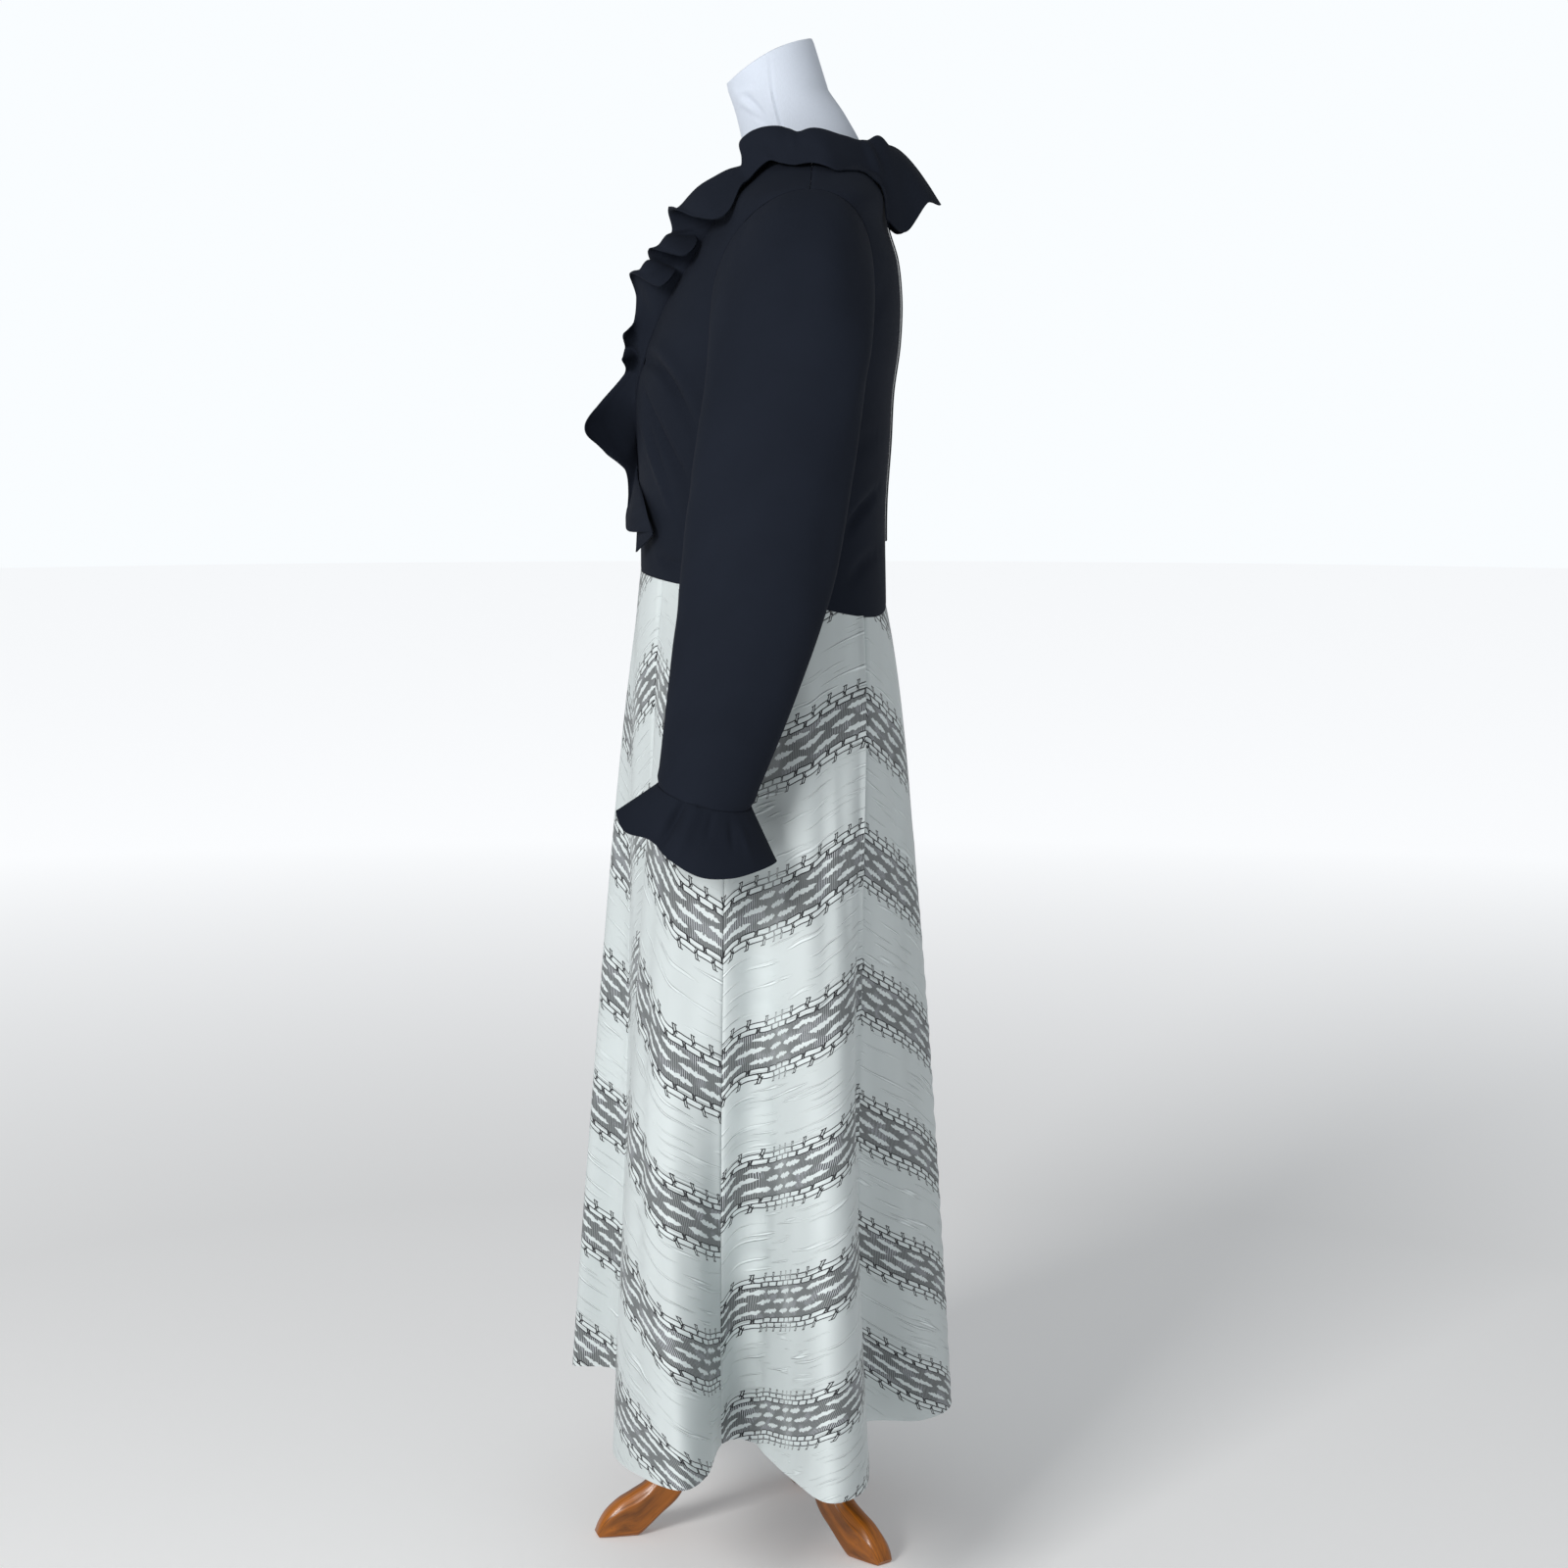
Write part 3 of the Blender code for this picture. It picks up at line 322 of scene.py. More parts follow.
# Dress form: neck sections, height, centre y, half width, half depth
FORM_NECK = np.array([
    (1.330, 0.046, 0.050, 0.044),
    (1.380, 0.045, 0.056, 0.054),
    (1.430, 0.040, 0.058, 0.060),
    (1.465, 0.027, 0.056, 0.055),
    (1.500, 0.010, 0.055, 0.049),
    (1.536, 0.004, 0.053, 0.046),
])
FORM_BOTTOM_Z = 0.800
FORM_TOP_FRONT_Z = 1.497
FORM_TOP_SLOPE = 0.46
FORM_TOP_CROWN = 0.006
FORM_TOP_LEAN = 0.22

# Distance of the form's cover from the cloth's sections by height
FORM_INSETS = ((0.80, 1.05, 1.20, 1.32, 1.385, 1.405), (0.014, 0.012, 0.010, 0.007, 0.0062, 0.0092))
FORM_HEIGHTS = np.concatenate([np.linspace(FORM_BOTTOM_Z, 1.30, 41), np.linspace(1.305, 1.375, 15),
                               np.linspace(1.378, 1.436, 26), np.linspace(1.4375, 1.490, 36)])
FORM_WRINKLED_Z = 1.40
# Rings from the last height to the rim, over the rim with their drop, and over the top to its centre
FORM_NECK_SHARES = (0.25, 0.5, 0.72, 0.9)
FORM_RIM_ROLL = ((0.995, 0.0012), (0.975, 0.0002), (0.95, 0.0))
FORM_TOP_SHARES = (0.85, 0.7, 0.5, 0.3, 0.12)

# Stand. The hub's profiles are radii and distances from its lower and its upper end
POLE_RADIUS = 0.0125
HUB_RADIUS = 0.034
HUB_LOW_Z = 0.185
HUB_HIGH_Z = 0.300
LEG_ANGLES = (("leg_front", -77.0), ("leg_back_left", 43.0), ("leg_right", 163.0))
LEG_HALF_WIDTH = 0.0135
# Rows of the leg's edges, and the shares of the half width at them
LEG_TIP_SHARES = ((0, 7, 8, 9, 10, 11), (1.0, 1.0, 1.0, 0.963, 0.852, 0.704))
POLE_PROFILE_END = 0.0119
HUB_LOW_PROFILE = ((0.0225, 0.0), (0.0245, 0.001), (0.0300, 0.006), (0.0333, 0.0105), (HUB_RADIUS, 0.014))
HUB_HIGH_PROFILE = ((HUB_RADIUS, 0.014), (0.0333, 0.0105), (0.0290, 0.005), (0.0240, 0.001), (0.0215, 0.0))
# Legs: distance from the axis and height of the upper and the lower edge
LEG_EDGES = np.array([
    (0.0343, 0.290, 0.0343, 0.205),
    (0.054, 0.282, 0.047, 0.198),
    (0.071, 0.240, 0.055, 0.166),
    (0.084, 0.185, 0.064, 0.120),
    (0.098, 0.125, 0.078, 0.074),
    (0.111, 0.082, 0.093, 0.041),
    (0.125, 0.057, 0.114, 0.021),
    (0.142, 0.0455, 0.138, 0.000),
    (0.157, 0.037, 0.151, 0.000),
    (0.170, 0.0255, 0.164, 0.000),
    (0.1775, 0.014, 0.173, 0.000),
    (0.1816, 0.004, 0.179, 0.000),
])
# Section of a leg: share of the way from the lower to the upper edge, and share of the half width
LEG_CORNERS = ((0.0, -0.72), (0.0, 0.72), (0.05, 0.92), (0.14, 1.0), (0.76, 1.0), (0.80, 0.90), (0.84, 0.86),
               (0.96, 0.62), (1.0, 0.45), (1.0, -0.45), (0.96, -0.62), (0.84, -0.86), (0.80, -0.90),
               (0.76, -1.0), (0.14, -1.0), (0.05, -0.92))

# Creases of the left front and back: three points of the path, half width, depth (a ridge is negative)
FRONT_CREASES = (
    (((0.045, -0.130, 1.222), (0.128, -0.097, 1.208), (0.158, -0.063, 1.140)), 0.0060, 0.0080),
    (((0.060, -0.126, 1.238), (0.136, -0.092, 1.222), (0.162, -0.057, 1.165)), 0.0080, -0.0045),
    (((0.077, -0.121, 1.196), (0.122, -0.103, 1.150), (0.148, -0.070, 1.092)), 0.0055, 0.0076),
    (((0.060, -0.124, 1.178), (0.104, -0.112, 1.128), (0.130, -0.085, 1.062)), 0.0075, -0.0042),
    (((0.086, -0.116, 1.180), (0.118, -0.104, 1.120), (0.136, -0.080, 1.050)), 0.0040, 0.0030),
    (((0.100, -0.105, 1.029), (0.116, -0.094, 1.023), (0.140, -0.066, 1.024)), 0.0045, 0.0040),
    (((0.020, -0.127, 1.072), (0.060, -0.122, 1.050), (0.098, -0.108, 1.018)), 0.0090, 0.0016),
)
BACK_CREASES = (
    (((0.130, 0.080, 1.050), (0.114, 0.096, 1.074), (0.080, 0.114, 1.094)), 0.0065, 0.0060),
    (((0.122, 0.084, 1.004), (0.104, 0.100, 1.022), (0.070, 0.114, 1.030)), 0.0080, 0.0036),
    (((0.150, 0.050, 1.120), (0.128, 0.086, 1.140), (0.090, 0.112, 1.148)), 0.0110, 0.0026),
    (((0.165, 0.060, 1.235), (0.140, 0.090, 1.262), (0.110, 0.112, 1.300)), 0.0120, 0.0016),
)
# Creases of the left sleeve: three points of the path, half width, depth
SLEEVE_CREASES = (
    (((0.262, 0.093, 1.150), (0.276, 0.070, 1.060), (0.268, 0.058, 0.980)), 0.016, 0.0024),
    (((0.222, -0.072, 1.120), (0.262, -0.060, 1.085), (0.290, -0.030, 1.070)), 0.013, 0.0014),
    (((0.240, -0.070, 1.000), (0.272, -0.066, 0.965), (0.304, -0.046, 0.945)), 0.014, 0.0014),
    (((0.216, 0.070, 1.230), (0.240, 0.092, 1.190), (0.262, 0.092, 1.130)), 0.013, 0.0018),
    (((0.290, 0.020, 1.010), (0.300, 0.010, 0.940), (0.312, -0.020, 0.880)), 0.016, 0.0012),
    (((0.196, 0.060, 1.385), (0.214, 0.070, 1.340), (0.236, 0.075, 1.280)), 0.012, 0.0016),
    (((0.172, -0.004, 1.392), (0.186, -0.010, 1.383), (0.200, -0.012, 1.368)), 0.005, 0.0010),
    (((0.172, -0.026, 1.374), (0.188, -0.036, 1.360), (0.204, -0.038, 1.342)), 0.005, 0.0011),
    (((0.178, -0.044, 1.346), (0.194, -0.054, 1.330), (0.212, -0.054, 1.310)), 0.006, 0.0010),
)
# Folds of the left cuff flounce: three points of the path, half width, depth
CUFF_CREASES = (
    (((0.330, -0.074, 0.822), (0.333, -0.090, 0.800), (0.336, -0.106, 0.770)), 0.0060, 0.0065),
    (((0.336, -0.060, 0.818), (0.342, -0.074, 0.792), (0.348, -0.086, 0.764)), 0.0080, -0.0045),
    (((0.342, -0.040, 0.812), (0.346, -0.046, 0.798), (0.350, -0.052, 0.786)), 0.0040, 0.0018),
    (((0.342, -0.014, 0.806), (0.346, -0.016, 0.792), (0.350, -0.018, 0.778)), 0.0045, 0.0020),
    (((0.340, 0.002, 0.808), (0.345, 0.006, 0.790), (0.350, 0.010, 0.770)), 0.0060, -0.0016),
)
# Wrinkles of the form's jersey at both sides of its neck: three y, z points, half width, depth (a ridge
# is negative)
NECK_CREASES = (
    (((0.0020, 1.512), (0.0100, 1.470), (0.0240, 1.425)), 0.0012, -0.0011),
    (((0.0045, 1.512), (0.0125, 1.470), (0.0265, 1.425)), 0.0012, 0.0012),
    (((-0.024, 1.487), (-0.010, 1.474), (0.004, 1.455)), 0.0032, 0.0024),
    (((-0.027, 1.480), (-0.012, 1.467), (0.009, 1.441)), 0.0040, -0.0020),
    (((-0.020, 1.470), (-0.004, 1.459), (0.010, 1.446)), 0.0028, 0.0022),
    (((-0.032, 1.490), (-0.022, 1.494), (-0.008, 1.503)), 0.0040, 0.0018),
)

# Seam grooves: half width, and depth as a share of the seam depth
PANEL_GROOVE = (0.0022, 0.35)
SHOULDER_GROOVE = (0.0016, 1.2)
GORE_GROOVE = (0.0014, 1.6)
SLEEVE_HEAD_GROOVE = (0.0022, 0.12)
SLEEVE_END_GROOVE = (0.003, 1.1)
# Swell beside the sleeve's end: distance from it, half width, share of the seam depth
SLEEVE_END_SWELL = (0.008, 0.005, 0.9)
# Trough at a gore's high seam: half width, depth. Pinched cloth beside it: distance, half width, height
HIGH_SEAM_TROUGH = (0.0024, 0.0026)
HIGH_SEAM_PINCH = (0.0080, 0.0034, 0.0036)
# Soft folds fade out over this distance from a gore's seams
SEAM_FADE = 0.016
# Fold numbers of the close columns beside a gore's seams
SEAM_COLUMNS = np.array((0.006, 0.014, 0.026, 0.042))
# Length down a gore at which the rise of its bands starts to change, and over which it does. Then half
# width and strength of the drawing together of the motifs
RISE_CHANGE = (0.40, 0.42)
MOTIF_DRAW = (0.012, 1.2)

# Lap over the zip: its columns' distances from the centre back, its stitch line's place, half width and
# depth, the first and last row and the column of the back that it follows, and its height over the back
LAP_COLUMNS = np.concatenate([[0.0004, 0.0012], np.linspace(0.0025, 0.0145, 9), [0.0153, 0.016]])
LAP_STITCH = (0.0125, 0.0009, 0.0004)
LAP_ROWS = (18, 126)
LAP_ASIDE = 9
LAP_LIFT = 0.0007

# Seam allowance inside the sleeve's end: two heights over the cuff seam, and its distance inwards
CUFF_TUCK_HEIGHTS = (0.0040, -0.0004)
CUFF_TUCK_INWARDS = 0.0028
CUFF_ROOT_DROP = 0.0005

# Half width of a flounce's rolled hem
ROLL_WIDTH = 0.0016

# Steps of the grids
SIDE_ROWS = 54
ARMHOLE_ROWS = 81
UNDER_V_ROWS = 36
FRONT_COLUMNS = 54
BACK_COLUMNS = 72
SLEEVE_COLUMNS = 108
CAP_ROWS = 36
SLEEVE_ROWS = 48
CUFF_COLUMNS = 240
CUFF_ROWS = 24
FLOUNCE_COLUMNS = 444
FLOUNCE_ROWS = 30
FOLD_STEPS = 14
SKIRT_ROWS = 120
FORM_COLUMNS = 280
LEG_STATIONS = 67

# Left and right: a piece on the right is the left one with its x turned round
SIDES = (("left", np.array((1.0, 1.0, 1.0))), ("right", np.array((-1.0, 1.0, 1.0))))

# Jacquard, in millimetres. Places below a band's upper edge: rows of bricks with the share of a brick by
# which each is moved along, rows of dashes with their shift and seed, double ticks, feet of the outer ticks
BRICK_ROWS = ((2.8, 0.0), (8.3, 0.5), (48.7, 0.0), (54.2, 0.5))
BRICK_LENGTH = 18.0
DASH_ROWS = ((17.0, 0.0, 3.0), (27.5, 0.5, 11.0), (38.5, 0.07, 23.0))
DASH_LENGTH = 36.0
# Half length and half height of a brick's flat core, and the distances from it of the outline
BRICK_CORE = (6.2, 0.5)
BRICK_RADIUS = 1.65
OUTLINE_RADIUS = 2.75
# Ticks and their feet: shift, lowest and highest place, and for a foot its way back. Then the slant of the
# ticks, the two sides of a tick from the joint, and the two ends of a foot
TICKS = ((0.5, -4.4, 2.6), (0.0, 4.8, 10.6), (0.5, 46.4, 52.2), (0.0, 54.4, 61.4))
TICK_LEAN = 0.30
TICK_SIDES = (0.6, 1.8)
TICK_FEET = ((0.5, -4.9, -3.9, -1.0), (0.0, 60.6, 61.6, 1.0))
FOOT_ENDS = (-3.0, 1.6)
# Dashes, yarns of the hatching, and the part of a band that is hatched
DASH_HALF_HEIGHT = 3.3
DASH_HALF_LENGTH = 14.8
DASH_RAGGED = 1.9
DASH_SLOPE = 0.05
YARN_STEP = 1.9
HATCH_ZONE = (9.5, 47.5)
# Share of the spacing over a band's upper edge that is counted to it, and shift along from band to band
BAND_LEAD = 0.1
BAND_SHIFT = 7.3

# Studio: floor, lights with their place, size, power and colour, and camera
KEY_LIGHT = ((4.6, -2.4, 3.0), 1.6, 215.0, (1.0, 0.985, 0.97))
FILL_LIGHT = ((3.5, 3.0, 3.2), 3.0, 3.0, (0.94, 0.97, 1.0))
LIGHT_TARGET_Z = 0.8
FLOOR_RADIUS = 14.0
FLOOR_Z = -0.0005
CAMERA_PLACE = (3.9, 0.0275, 1.3003)
CAMERA_TILT = 82.5
CAMERA_LENS = 87.75


# Sizes and colours


class DressSizes(bpy.types.PropertyGroup):
    """Sizes of the cloth and its trims."""
    cloth_thickness: bpy.props.FloatProperty(
        name="Cloth thickness", description="Wall of the crepe and the jacquard",
        default=0.0015, min=0.0005, max=0.003, unit="LENGTH")
    flounce_thickness: bpy.props.FloatProperty(
        name="Flounce thickness", description="Wall of the flounces",
        default=0.0012, min=0.0005, max=0.003, unit="LENGTH")
    rolled_hem: bpy.props.FloatProperty(
        name="Rolled hem", description="Extra wall at the flounces' rolled edge",
        default=0.0005, min=0.0, max=0.001, unit="LENGTH")
    seam_depth: bpy.props.FloatProperty(
        name="Seam depth", description="Depth of the groove at a pressed seam",
        default=0.0009, min=0.0, max=0.002, unit="LENGTH")
    crease_depth: bpy.props.FloatProperty(
        name="Crease depth", description="Scale of the soft creases put in by hand",
        default=1.0, min=0.0, max=1.5, subtype="FACTOR")
    band_spacing: bpy.props.FloatProperty(
        name="Band spacing", description="Distance from one patterned band to the next",
        default=0.133, min=0.1, max=0.2, unit="LENGTH")


class DressColours(bpy.types.PropertyGroup):
    """Colours of the cloth, the form and the wood."""
    crepe: bpy.props.FloatVectorProperty(
        name="Crepe", description="Near black crepe of the bodice and sleeves",
        default=(0.0098, 0.0126, 0.0200), size=3, min=0.0, max=1.0, subtype="COLOR")
    jacquard: bpy.props.FloatVectorProperty(
        name="Jacquard ground", description="White ground of the skirt",
        default=(0.610, 0.665, 0.670), size=3, min=0.0, max=1.0, subtype="COLOR")
    band_grey: bpy.props.FloatVectorProperty(
        name="Band grey", description="Grey ground of the bands",
        default=(0.115, 0.128, 0.127), size=3, min=0.0, max=1.0, subtype="COLOR")
    band_black: bpy.props.FloatVectorProperty(
        name="Band black", description="Black yarn of the bands",
        default=(0.012, 0.012, 0.016), size=3, min=0.0, max=1.0, subtype="COLOR")
    jersey: bpy.props.FloatVectorProperty(
        name="Form jersey", description="Jersey cover of the dress form",
        default=(0.61, 0.665, 0.755), size=3, min=0.0, max=1.0, subtype="COLOR")
    wood: bpy.props.FloatVectorProperty(
        name="Wood", description="Varnished wood of the stand",
        default=(0.33, 0.100, 0.006), size=3, min=0.0, max=1.0, subtype="COLOR")


# Curves, grids and meshes


def unit(vectors):
    """Vectors divided by their own lengths."""
    return vectors / np.maximum(np.linalg.norm(vectors, axis=-1, keepdims=True), 1e-12)


def full_turn(count):
    """Angles of even steps round a circle."""
    return np.arange(count) * 2 * math.pi / count


def bell(distance, width):
    """1 at no distance, and less by the exponential of the squared share of the width."""
    return np.exp(-(distance / width) ** 2)


def cubic(part, start, lead, end, tail):
    """Cubic from start to end with these slopes at its ends: the sum of the four cubic weights."""
    square = part * part
    cube = square * part
    return ((2 * cube - 3 * square + 1) * start + (cube - 2 * square + part) * lead
            + (3 * square - 2 * cube) * end + (cube - square) * tail)


def parabola(share, start, middle, end, place=0.5):
    """Parabola through three values: start at 0, middle at its place, end at 1."""
    return (start * (share - place) * (share - 1) / place
            + middle * share * (share - 1) / (place * (place - 1))
            + end * share * (share - place) / (1 - place))


def smooth_curve(keys, values, at):
    """Cubic through rows of values; its slope at a key is the slope between the key's neighbours."""
    keys = np.asarray(keys, dtype=float)
    slopes = np.gradient(values, keys, axis=0)
    at = np.clip(np.asarray(at, dtype=float), keys[0], keys[-1])
    low = np.clip(np.searchsorted(keys, at, side="right") - 1, 0, len(keys) - 2)
    span = keys[low + 1] - keys[low]
    part = ((at - keys[low]) / span)[..., None]
    span = span[..., None]
    return cubic(part, values[low], span * slopes[low], values[low + 1], span * slopes[low + 1])


def face_normals(grid, closed):
    """Unit cross product of a grid's two directions; closed grids run round in the second one."""
    across = np.roll(grid, -1, axis=1) - np.roll(grid, 1, axis=1) if closed else np.gradient(grid, axis=1)
    return unit(np.cross(np.gradient(grid, axis=0), across))


def turned_out(normal, grid, middle):
    """Normals turned so that they point away from the middle."""
    return normal * np.sign((normal * (grid - middle)).sum())


def arc_lengths(grid, axis):
    """Running sum of the distances between neighbouring points along one direction of a grid."""
    steps = np.linalg.norm(np.diff(grid, axis=axis), axis=2)
    start = np.zeros_like(np.take(steps, [0], axis=axis))
    return np.concatenate([start, np.cumsum(steps, axis=axis)], axis=axis)


def plain_map(grid, closed=False):
    """Flat map of a grid in metres: the distance across it and the distance down it."""
    if closed:
        grid = np.concatenate([grid, grid[:, :1]], axis=1)
    return np.stack([arc_lengths(grid, 1), arc_lengths(grid, 0)], axis=-1)


def bent_path(path, count=25):
    """Steps along the parabola through three points."""
    return parabola(np.linspace(0, 1, count)[:, None], *(np.array(point, dtype=float) for point in path))


def crease(grid, spots, width, depth):
    """Depth of a soft trough at each point: a bell over the distance from a path, faded at both ends.
    The squared distances are counted from each path point's own height over the surface."""
    gaps = ((grid[..., None, :] - spots) ** 2).sum(axis=-1)
    gaps = gaps - gaps.min(axis=tuple(range(gaps.ndim - 1)))
    share = gaps.argmin(axis=-1) / (len(spots) - 1)
    fade = np.sin(math.pi * np.clip(share, 0.04, 0.96)) ** 0.7
    return depth * fade * np.exp(-gaps.min(axis=-1) / width ** 2)


def crease_sum(grid, table, count=25):
    """Sum of the creases of a table of paths, half widths and depths."""
    return sum(crease(grid, bent_path(path, count), width, depth) for path, width, depth in table)


def creased(face, normal, table):
    """Face with the creases of a table sunk into it one after the other."""
    for path, width, depth in table:
        face = face - crease(face, bent_path(path), width, depth)[..., None] * normal
    return face


def edge_groove(grid, groove, seam_depth, edges):
    """Depth of a pressed seam: a bell over the distance from the named edges."""
    width, share = groove
    across = arc_lengths(grid, 1)
    along = arc_lengths(grid, 0)
    distance = {"first": across, "last": across[:, -1:] - across, "low": along, "high": along[-1:] - along}
    return share * seam_depth * np.max([bell(distance[edge], width) for edge in edges], axis=0)


def placed(name, data):
    """Object of this data in the scene."""
    made = bpy.data.objects.new(name, data)
    bpy.context.scene.collection.objects.link(made)
    return made


def mesh_piece(name, points, faces, sharp, maps=None, corners=None):
    """Mesh object of these faces, smooth but for the edges that bend more than sharp degrees.

    corners numbers the entries of the maps for each face corner; maps are grids of pairs by name.
    """
    mesh = bpy.data.meshes.new(name)
    mesh.from_pydata((points.reshape(-1, 3) + PLACE).tolist(), [], faces)
    for key, values in (maps or {}).items():
        layer = mesh.uv_layers.new(name=key)
        layer.data.foreach_set("uv", values.reshape(-1, 2)[corners].astype(np.float32).ravel())
    mesh.shade_smooth()
    mesh.set_sharp_from_angle(angle=math.radians(sharp))
    mesh.update()
    return placed(name, mesh)


def quad_grid(rows, columns, spans):
    """Corner numbers of a grid's faces; a grid with as many spans as columns closes round."""
    row = np.arange(rows - 1)[:, None]
    column = np.arange(spans)[None, :]
    a = row * columns + column
    b = row * columns + (column + 1) % columns
    return np.stack([a, b, b + columns, a + columns], axis=-1).reshape(-1, 4)


def wall_piece(name, outer, inner, closed, maps):
    """Cloth wall: the outer grid, the inner grid and the strips that join their edges, turned outwards.

    The maps are grids of pairs, with one column more than the points where the grid closes round.
    """
    rows, columns = outer.shape[:2]
    spans = columns if closed else columns - 1
    wide = spans + 1
    count = rows * columns
    front = quad_grid(rows, columns, spans)
    chart = quad_grid(rows, wide, spans)
    top = front[:spans]
    low = front[-spans:]
    faces = [front[:, ::-1], front + count,
             np.stack([top[:, 0], top[:, 1], top[:, 1] + count, top[:, 0] + count], axis=1),
             np.stack([low[:, 2], low[:, 3], low[:, 3] + count, low[:, 2] + count], axis=1)]
    charts = [chart[:, ::-1], chart, chart[:spans][:, [0, 1, 1, 0]], chart[-spans:][:, [2, 3, 3, 2]]]
    if not closed:
        left = np.arange(rows - 1) * columns
        right = left + columns - 1
        faces.append(np.stack([left + columns, left, left + count, left + columns + count], axis=1))
        faces.append(np.stack([right, right + columns, right + columns + count, right + count], axis=1))
        charts.append(np.stack([left + wide, left, left, left + wide], axis=1))
        charts.append(np.stack([right, right + wide, right + wide, right], axis=1))
    faces = np.concatenate(faces)
    charts = np.concatenate(charts)
    points = np.concatenate([outer.reshape(-1, 3), inner.reshape(-1, 3)])
    first, second, third, fourth = (points[faces[:, corner]] for corner in range(4))
    if (first * (np.cross(second, third) + np.cross(third, fourth))).sum() < 0:
        faces = faces[:, ::-1]
        charts = charts[:, ::-1]
    return mesh_piece(name, points, faces.tolist(), 50, maps, charts.reshape(-1))


def fan(ring, centre):
    """Triangles from each step of a ring of corner numbers to a centre."""
    return np.stack([ring, np.roll(ring, -1), np.full(len(ring), centre)], axis=1).tolist()


def ring_solid(name, rings, base, top, sharp):
    """Closed solid of rings, lowest first, with a fan to a point at each end."""
    rows, count = rings.shape[:2]
    total = rows * count
    around = np.arange(count)
    faces = quad_grid(rows, count, count).tolist() + fan(around[::-1], total)
    faces = faces + fan(total - count + around, total + 1)
    return mesh_piece(name, np.concatenate([rings.reshape(-1, 3), base[None], top[None]]), faces, sharp)


# Bodice


def torso_row(z):
    """Half width, front depth, back depth and centre at each height, on smooth curves."""
    return np.moveaxis(smooth_curve(TORSO[:, 0], TORSO[:, 1:], z), -1, 0)


def torso(angle, z):
    """Point at an angle from the centre front: an oblong of power 2.4 with its own front and back depth."""
    half, front, back, centre = torso_row(z)
    sine = np.sin(angle)
    cosine = np.cos(angle)
    depth = np.where(cosine > 0, front, back)
    x = half * np.sign(sine) * np.abs(sine) ** (2 / TORSO_POWER)
    y = centre - depth * np.sign(cosine) * np.abs(cosine) ** (2 / TORSO_POWER)
    return np.stack([x, y, z], axis=-1)


def torso_level(x, y, z, grow=0.0):
    """1 on the bodice's surface grown by a distance: the sum of the two shares to the power 2.4."""
    half, front, back, centre = torso_row(z)
    depth = np.where(y < centre, front, back)
    return (np.abs(x) / (half + grow)) ** TORSO_POWER + (np.abs(y - centre) / (depth + grow)) ** TORSO_POWER


def torso_normal(points):
    """Unit slope of the level along x, y and z."""
    step = 1e-5
    x = points[..., 0]
    y = points[..., 1]
    z = np.clip(points[..., 2], TORSO[0, 0] + step, NECK_POINT_Z - step)
    return unit(np.stack([
        torso_level(x + step, y, z) - torso_level(x - step, y, z),
        torso_level(x, y + step, z) - torso_level(x, y - step, z),
        torso_level(x, y, z + step) - torso_level(x, y, z - step),
    ], axis=-1))


def angle_of_x(x, z):
    """Angle of the front point at this x, from the oblong's power law."""
    return np.arcsin(np.clip((x / torso_row(z)[0]), 0, 1) ** (TORSO_POWER / 2))


def depth_share(y, z):
    """Share of the section's depth at this y, positive ahead of its centre line."""
    _half, front, back, centre = torso_row(z)
    ahead = centre - y
    return np.sign(ahead) * np.clip(np.abs(ahead) / np.where(ahead > 0, front, back), 0, 1)


def angle_of_y(y, z):
    """Angle of the point on the wearer's left at this y, from the oblong's power law."""
    share = depth_share(y, z)
    return np.arccos(np.sign(share) * np.abs(share) ** (TORSO_POWER / 2))


def neckline_x(z):
    """Half width of the V neck: full at the shoulder, less by the power 1.35 of the way down."""
    fall = np.clip((NECK_POINT_Z - z) / (NECK_POINT_Z - V_BOTTOM_Z), 0, 1)
    return NECK_HALF * (1 - fall ** V_CURVE)


def armhole(turn, grow=0.0):
    """Depth and height on the armhole: an upright oval whose top leans back."""
    y = ARMHOLE_Y + ARMHOLE_LEAN * np.sin(turn) + (ARMHOLE_HALF_Y + grow) * np.cos(turn)
    z = ARMHOLE_Z + (ARMHOLE_HALF_Z + grow) * np.sin(turn)
    return y, z


def side_seam_y(z):
    """Straight side seam from the waist to the armhole."""
    share = (z - WAIST_Z) / (ARMHOLE_Z - ARMHOLE_HALF_Z - WAIST_Z)
    return SIDE_SEAM_WAIST_Y + (ARMHOLE_Y - ARMHOLE_LEAN - SIDE_SEAM_WAIST_Y) * share


def panel_outer_edge(way):
    """Angles and heights up the side seam and round the armhole; way is -1 for a front, 1 for a back."""
    low_z = np.linspace(WAIST_Z, ARMHOLE_Z - ARMHOLE_HALF_Z - SEAM_GAP, SIDE_ROWS + 1)[:-1]
    gap = way * SEAM_GAP / 2
    low_angle = angle_of_y(side_seam_y(low_z) + gap, low_z)
    turn = math.radians(270) + np.linspace(0, 1, ARMHOLE_ROWS + 1) * math.radians(way * 180)
    y, z = armhole(turn, SEAM_GAP)
    z = np.minimum(z, ARMHOLE_Z + ARMHOLE_HALF_Z)
    y[0] = y[0] + gap
    high_angle = angle_of_y(y, z)
    high_angle[-1] = math.radians(90) + way * SHOULDER_GAP_ANGLE
    return np.concatenate([low_angle, high_angle]), np.concatenate([low_z, z])


def waist_rise(angle):
    """Height of the waist seam over WAIST_Z: a slope to the back and a sag behind the side seams."""
    y = torso(angle, np.full_like(angle, WAIST_Z))[..., 1]
    behind = np.clip(2 * np.arccos(np.cos(angle)) / math.pi - 1, 0, 1)
    return WAIST_TILT * y - WAIST_SAG * np.sin(math.pi * behind ** 1.5)


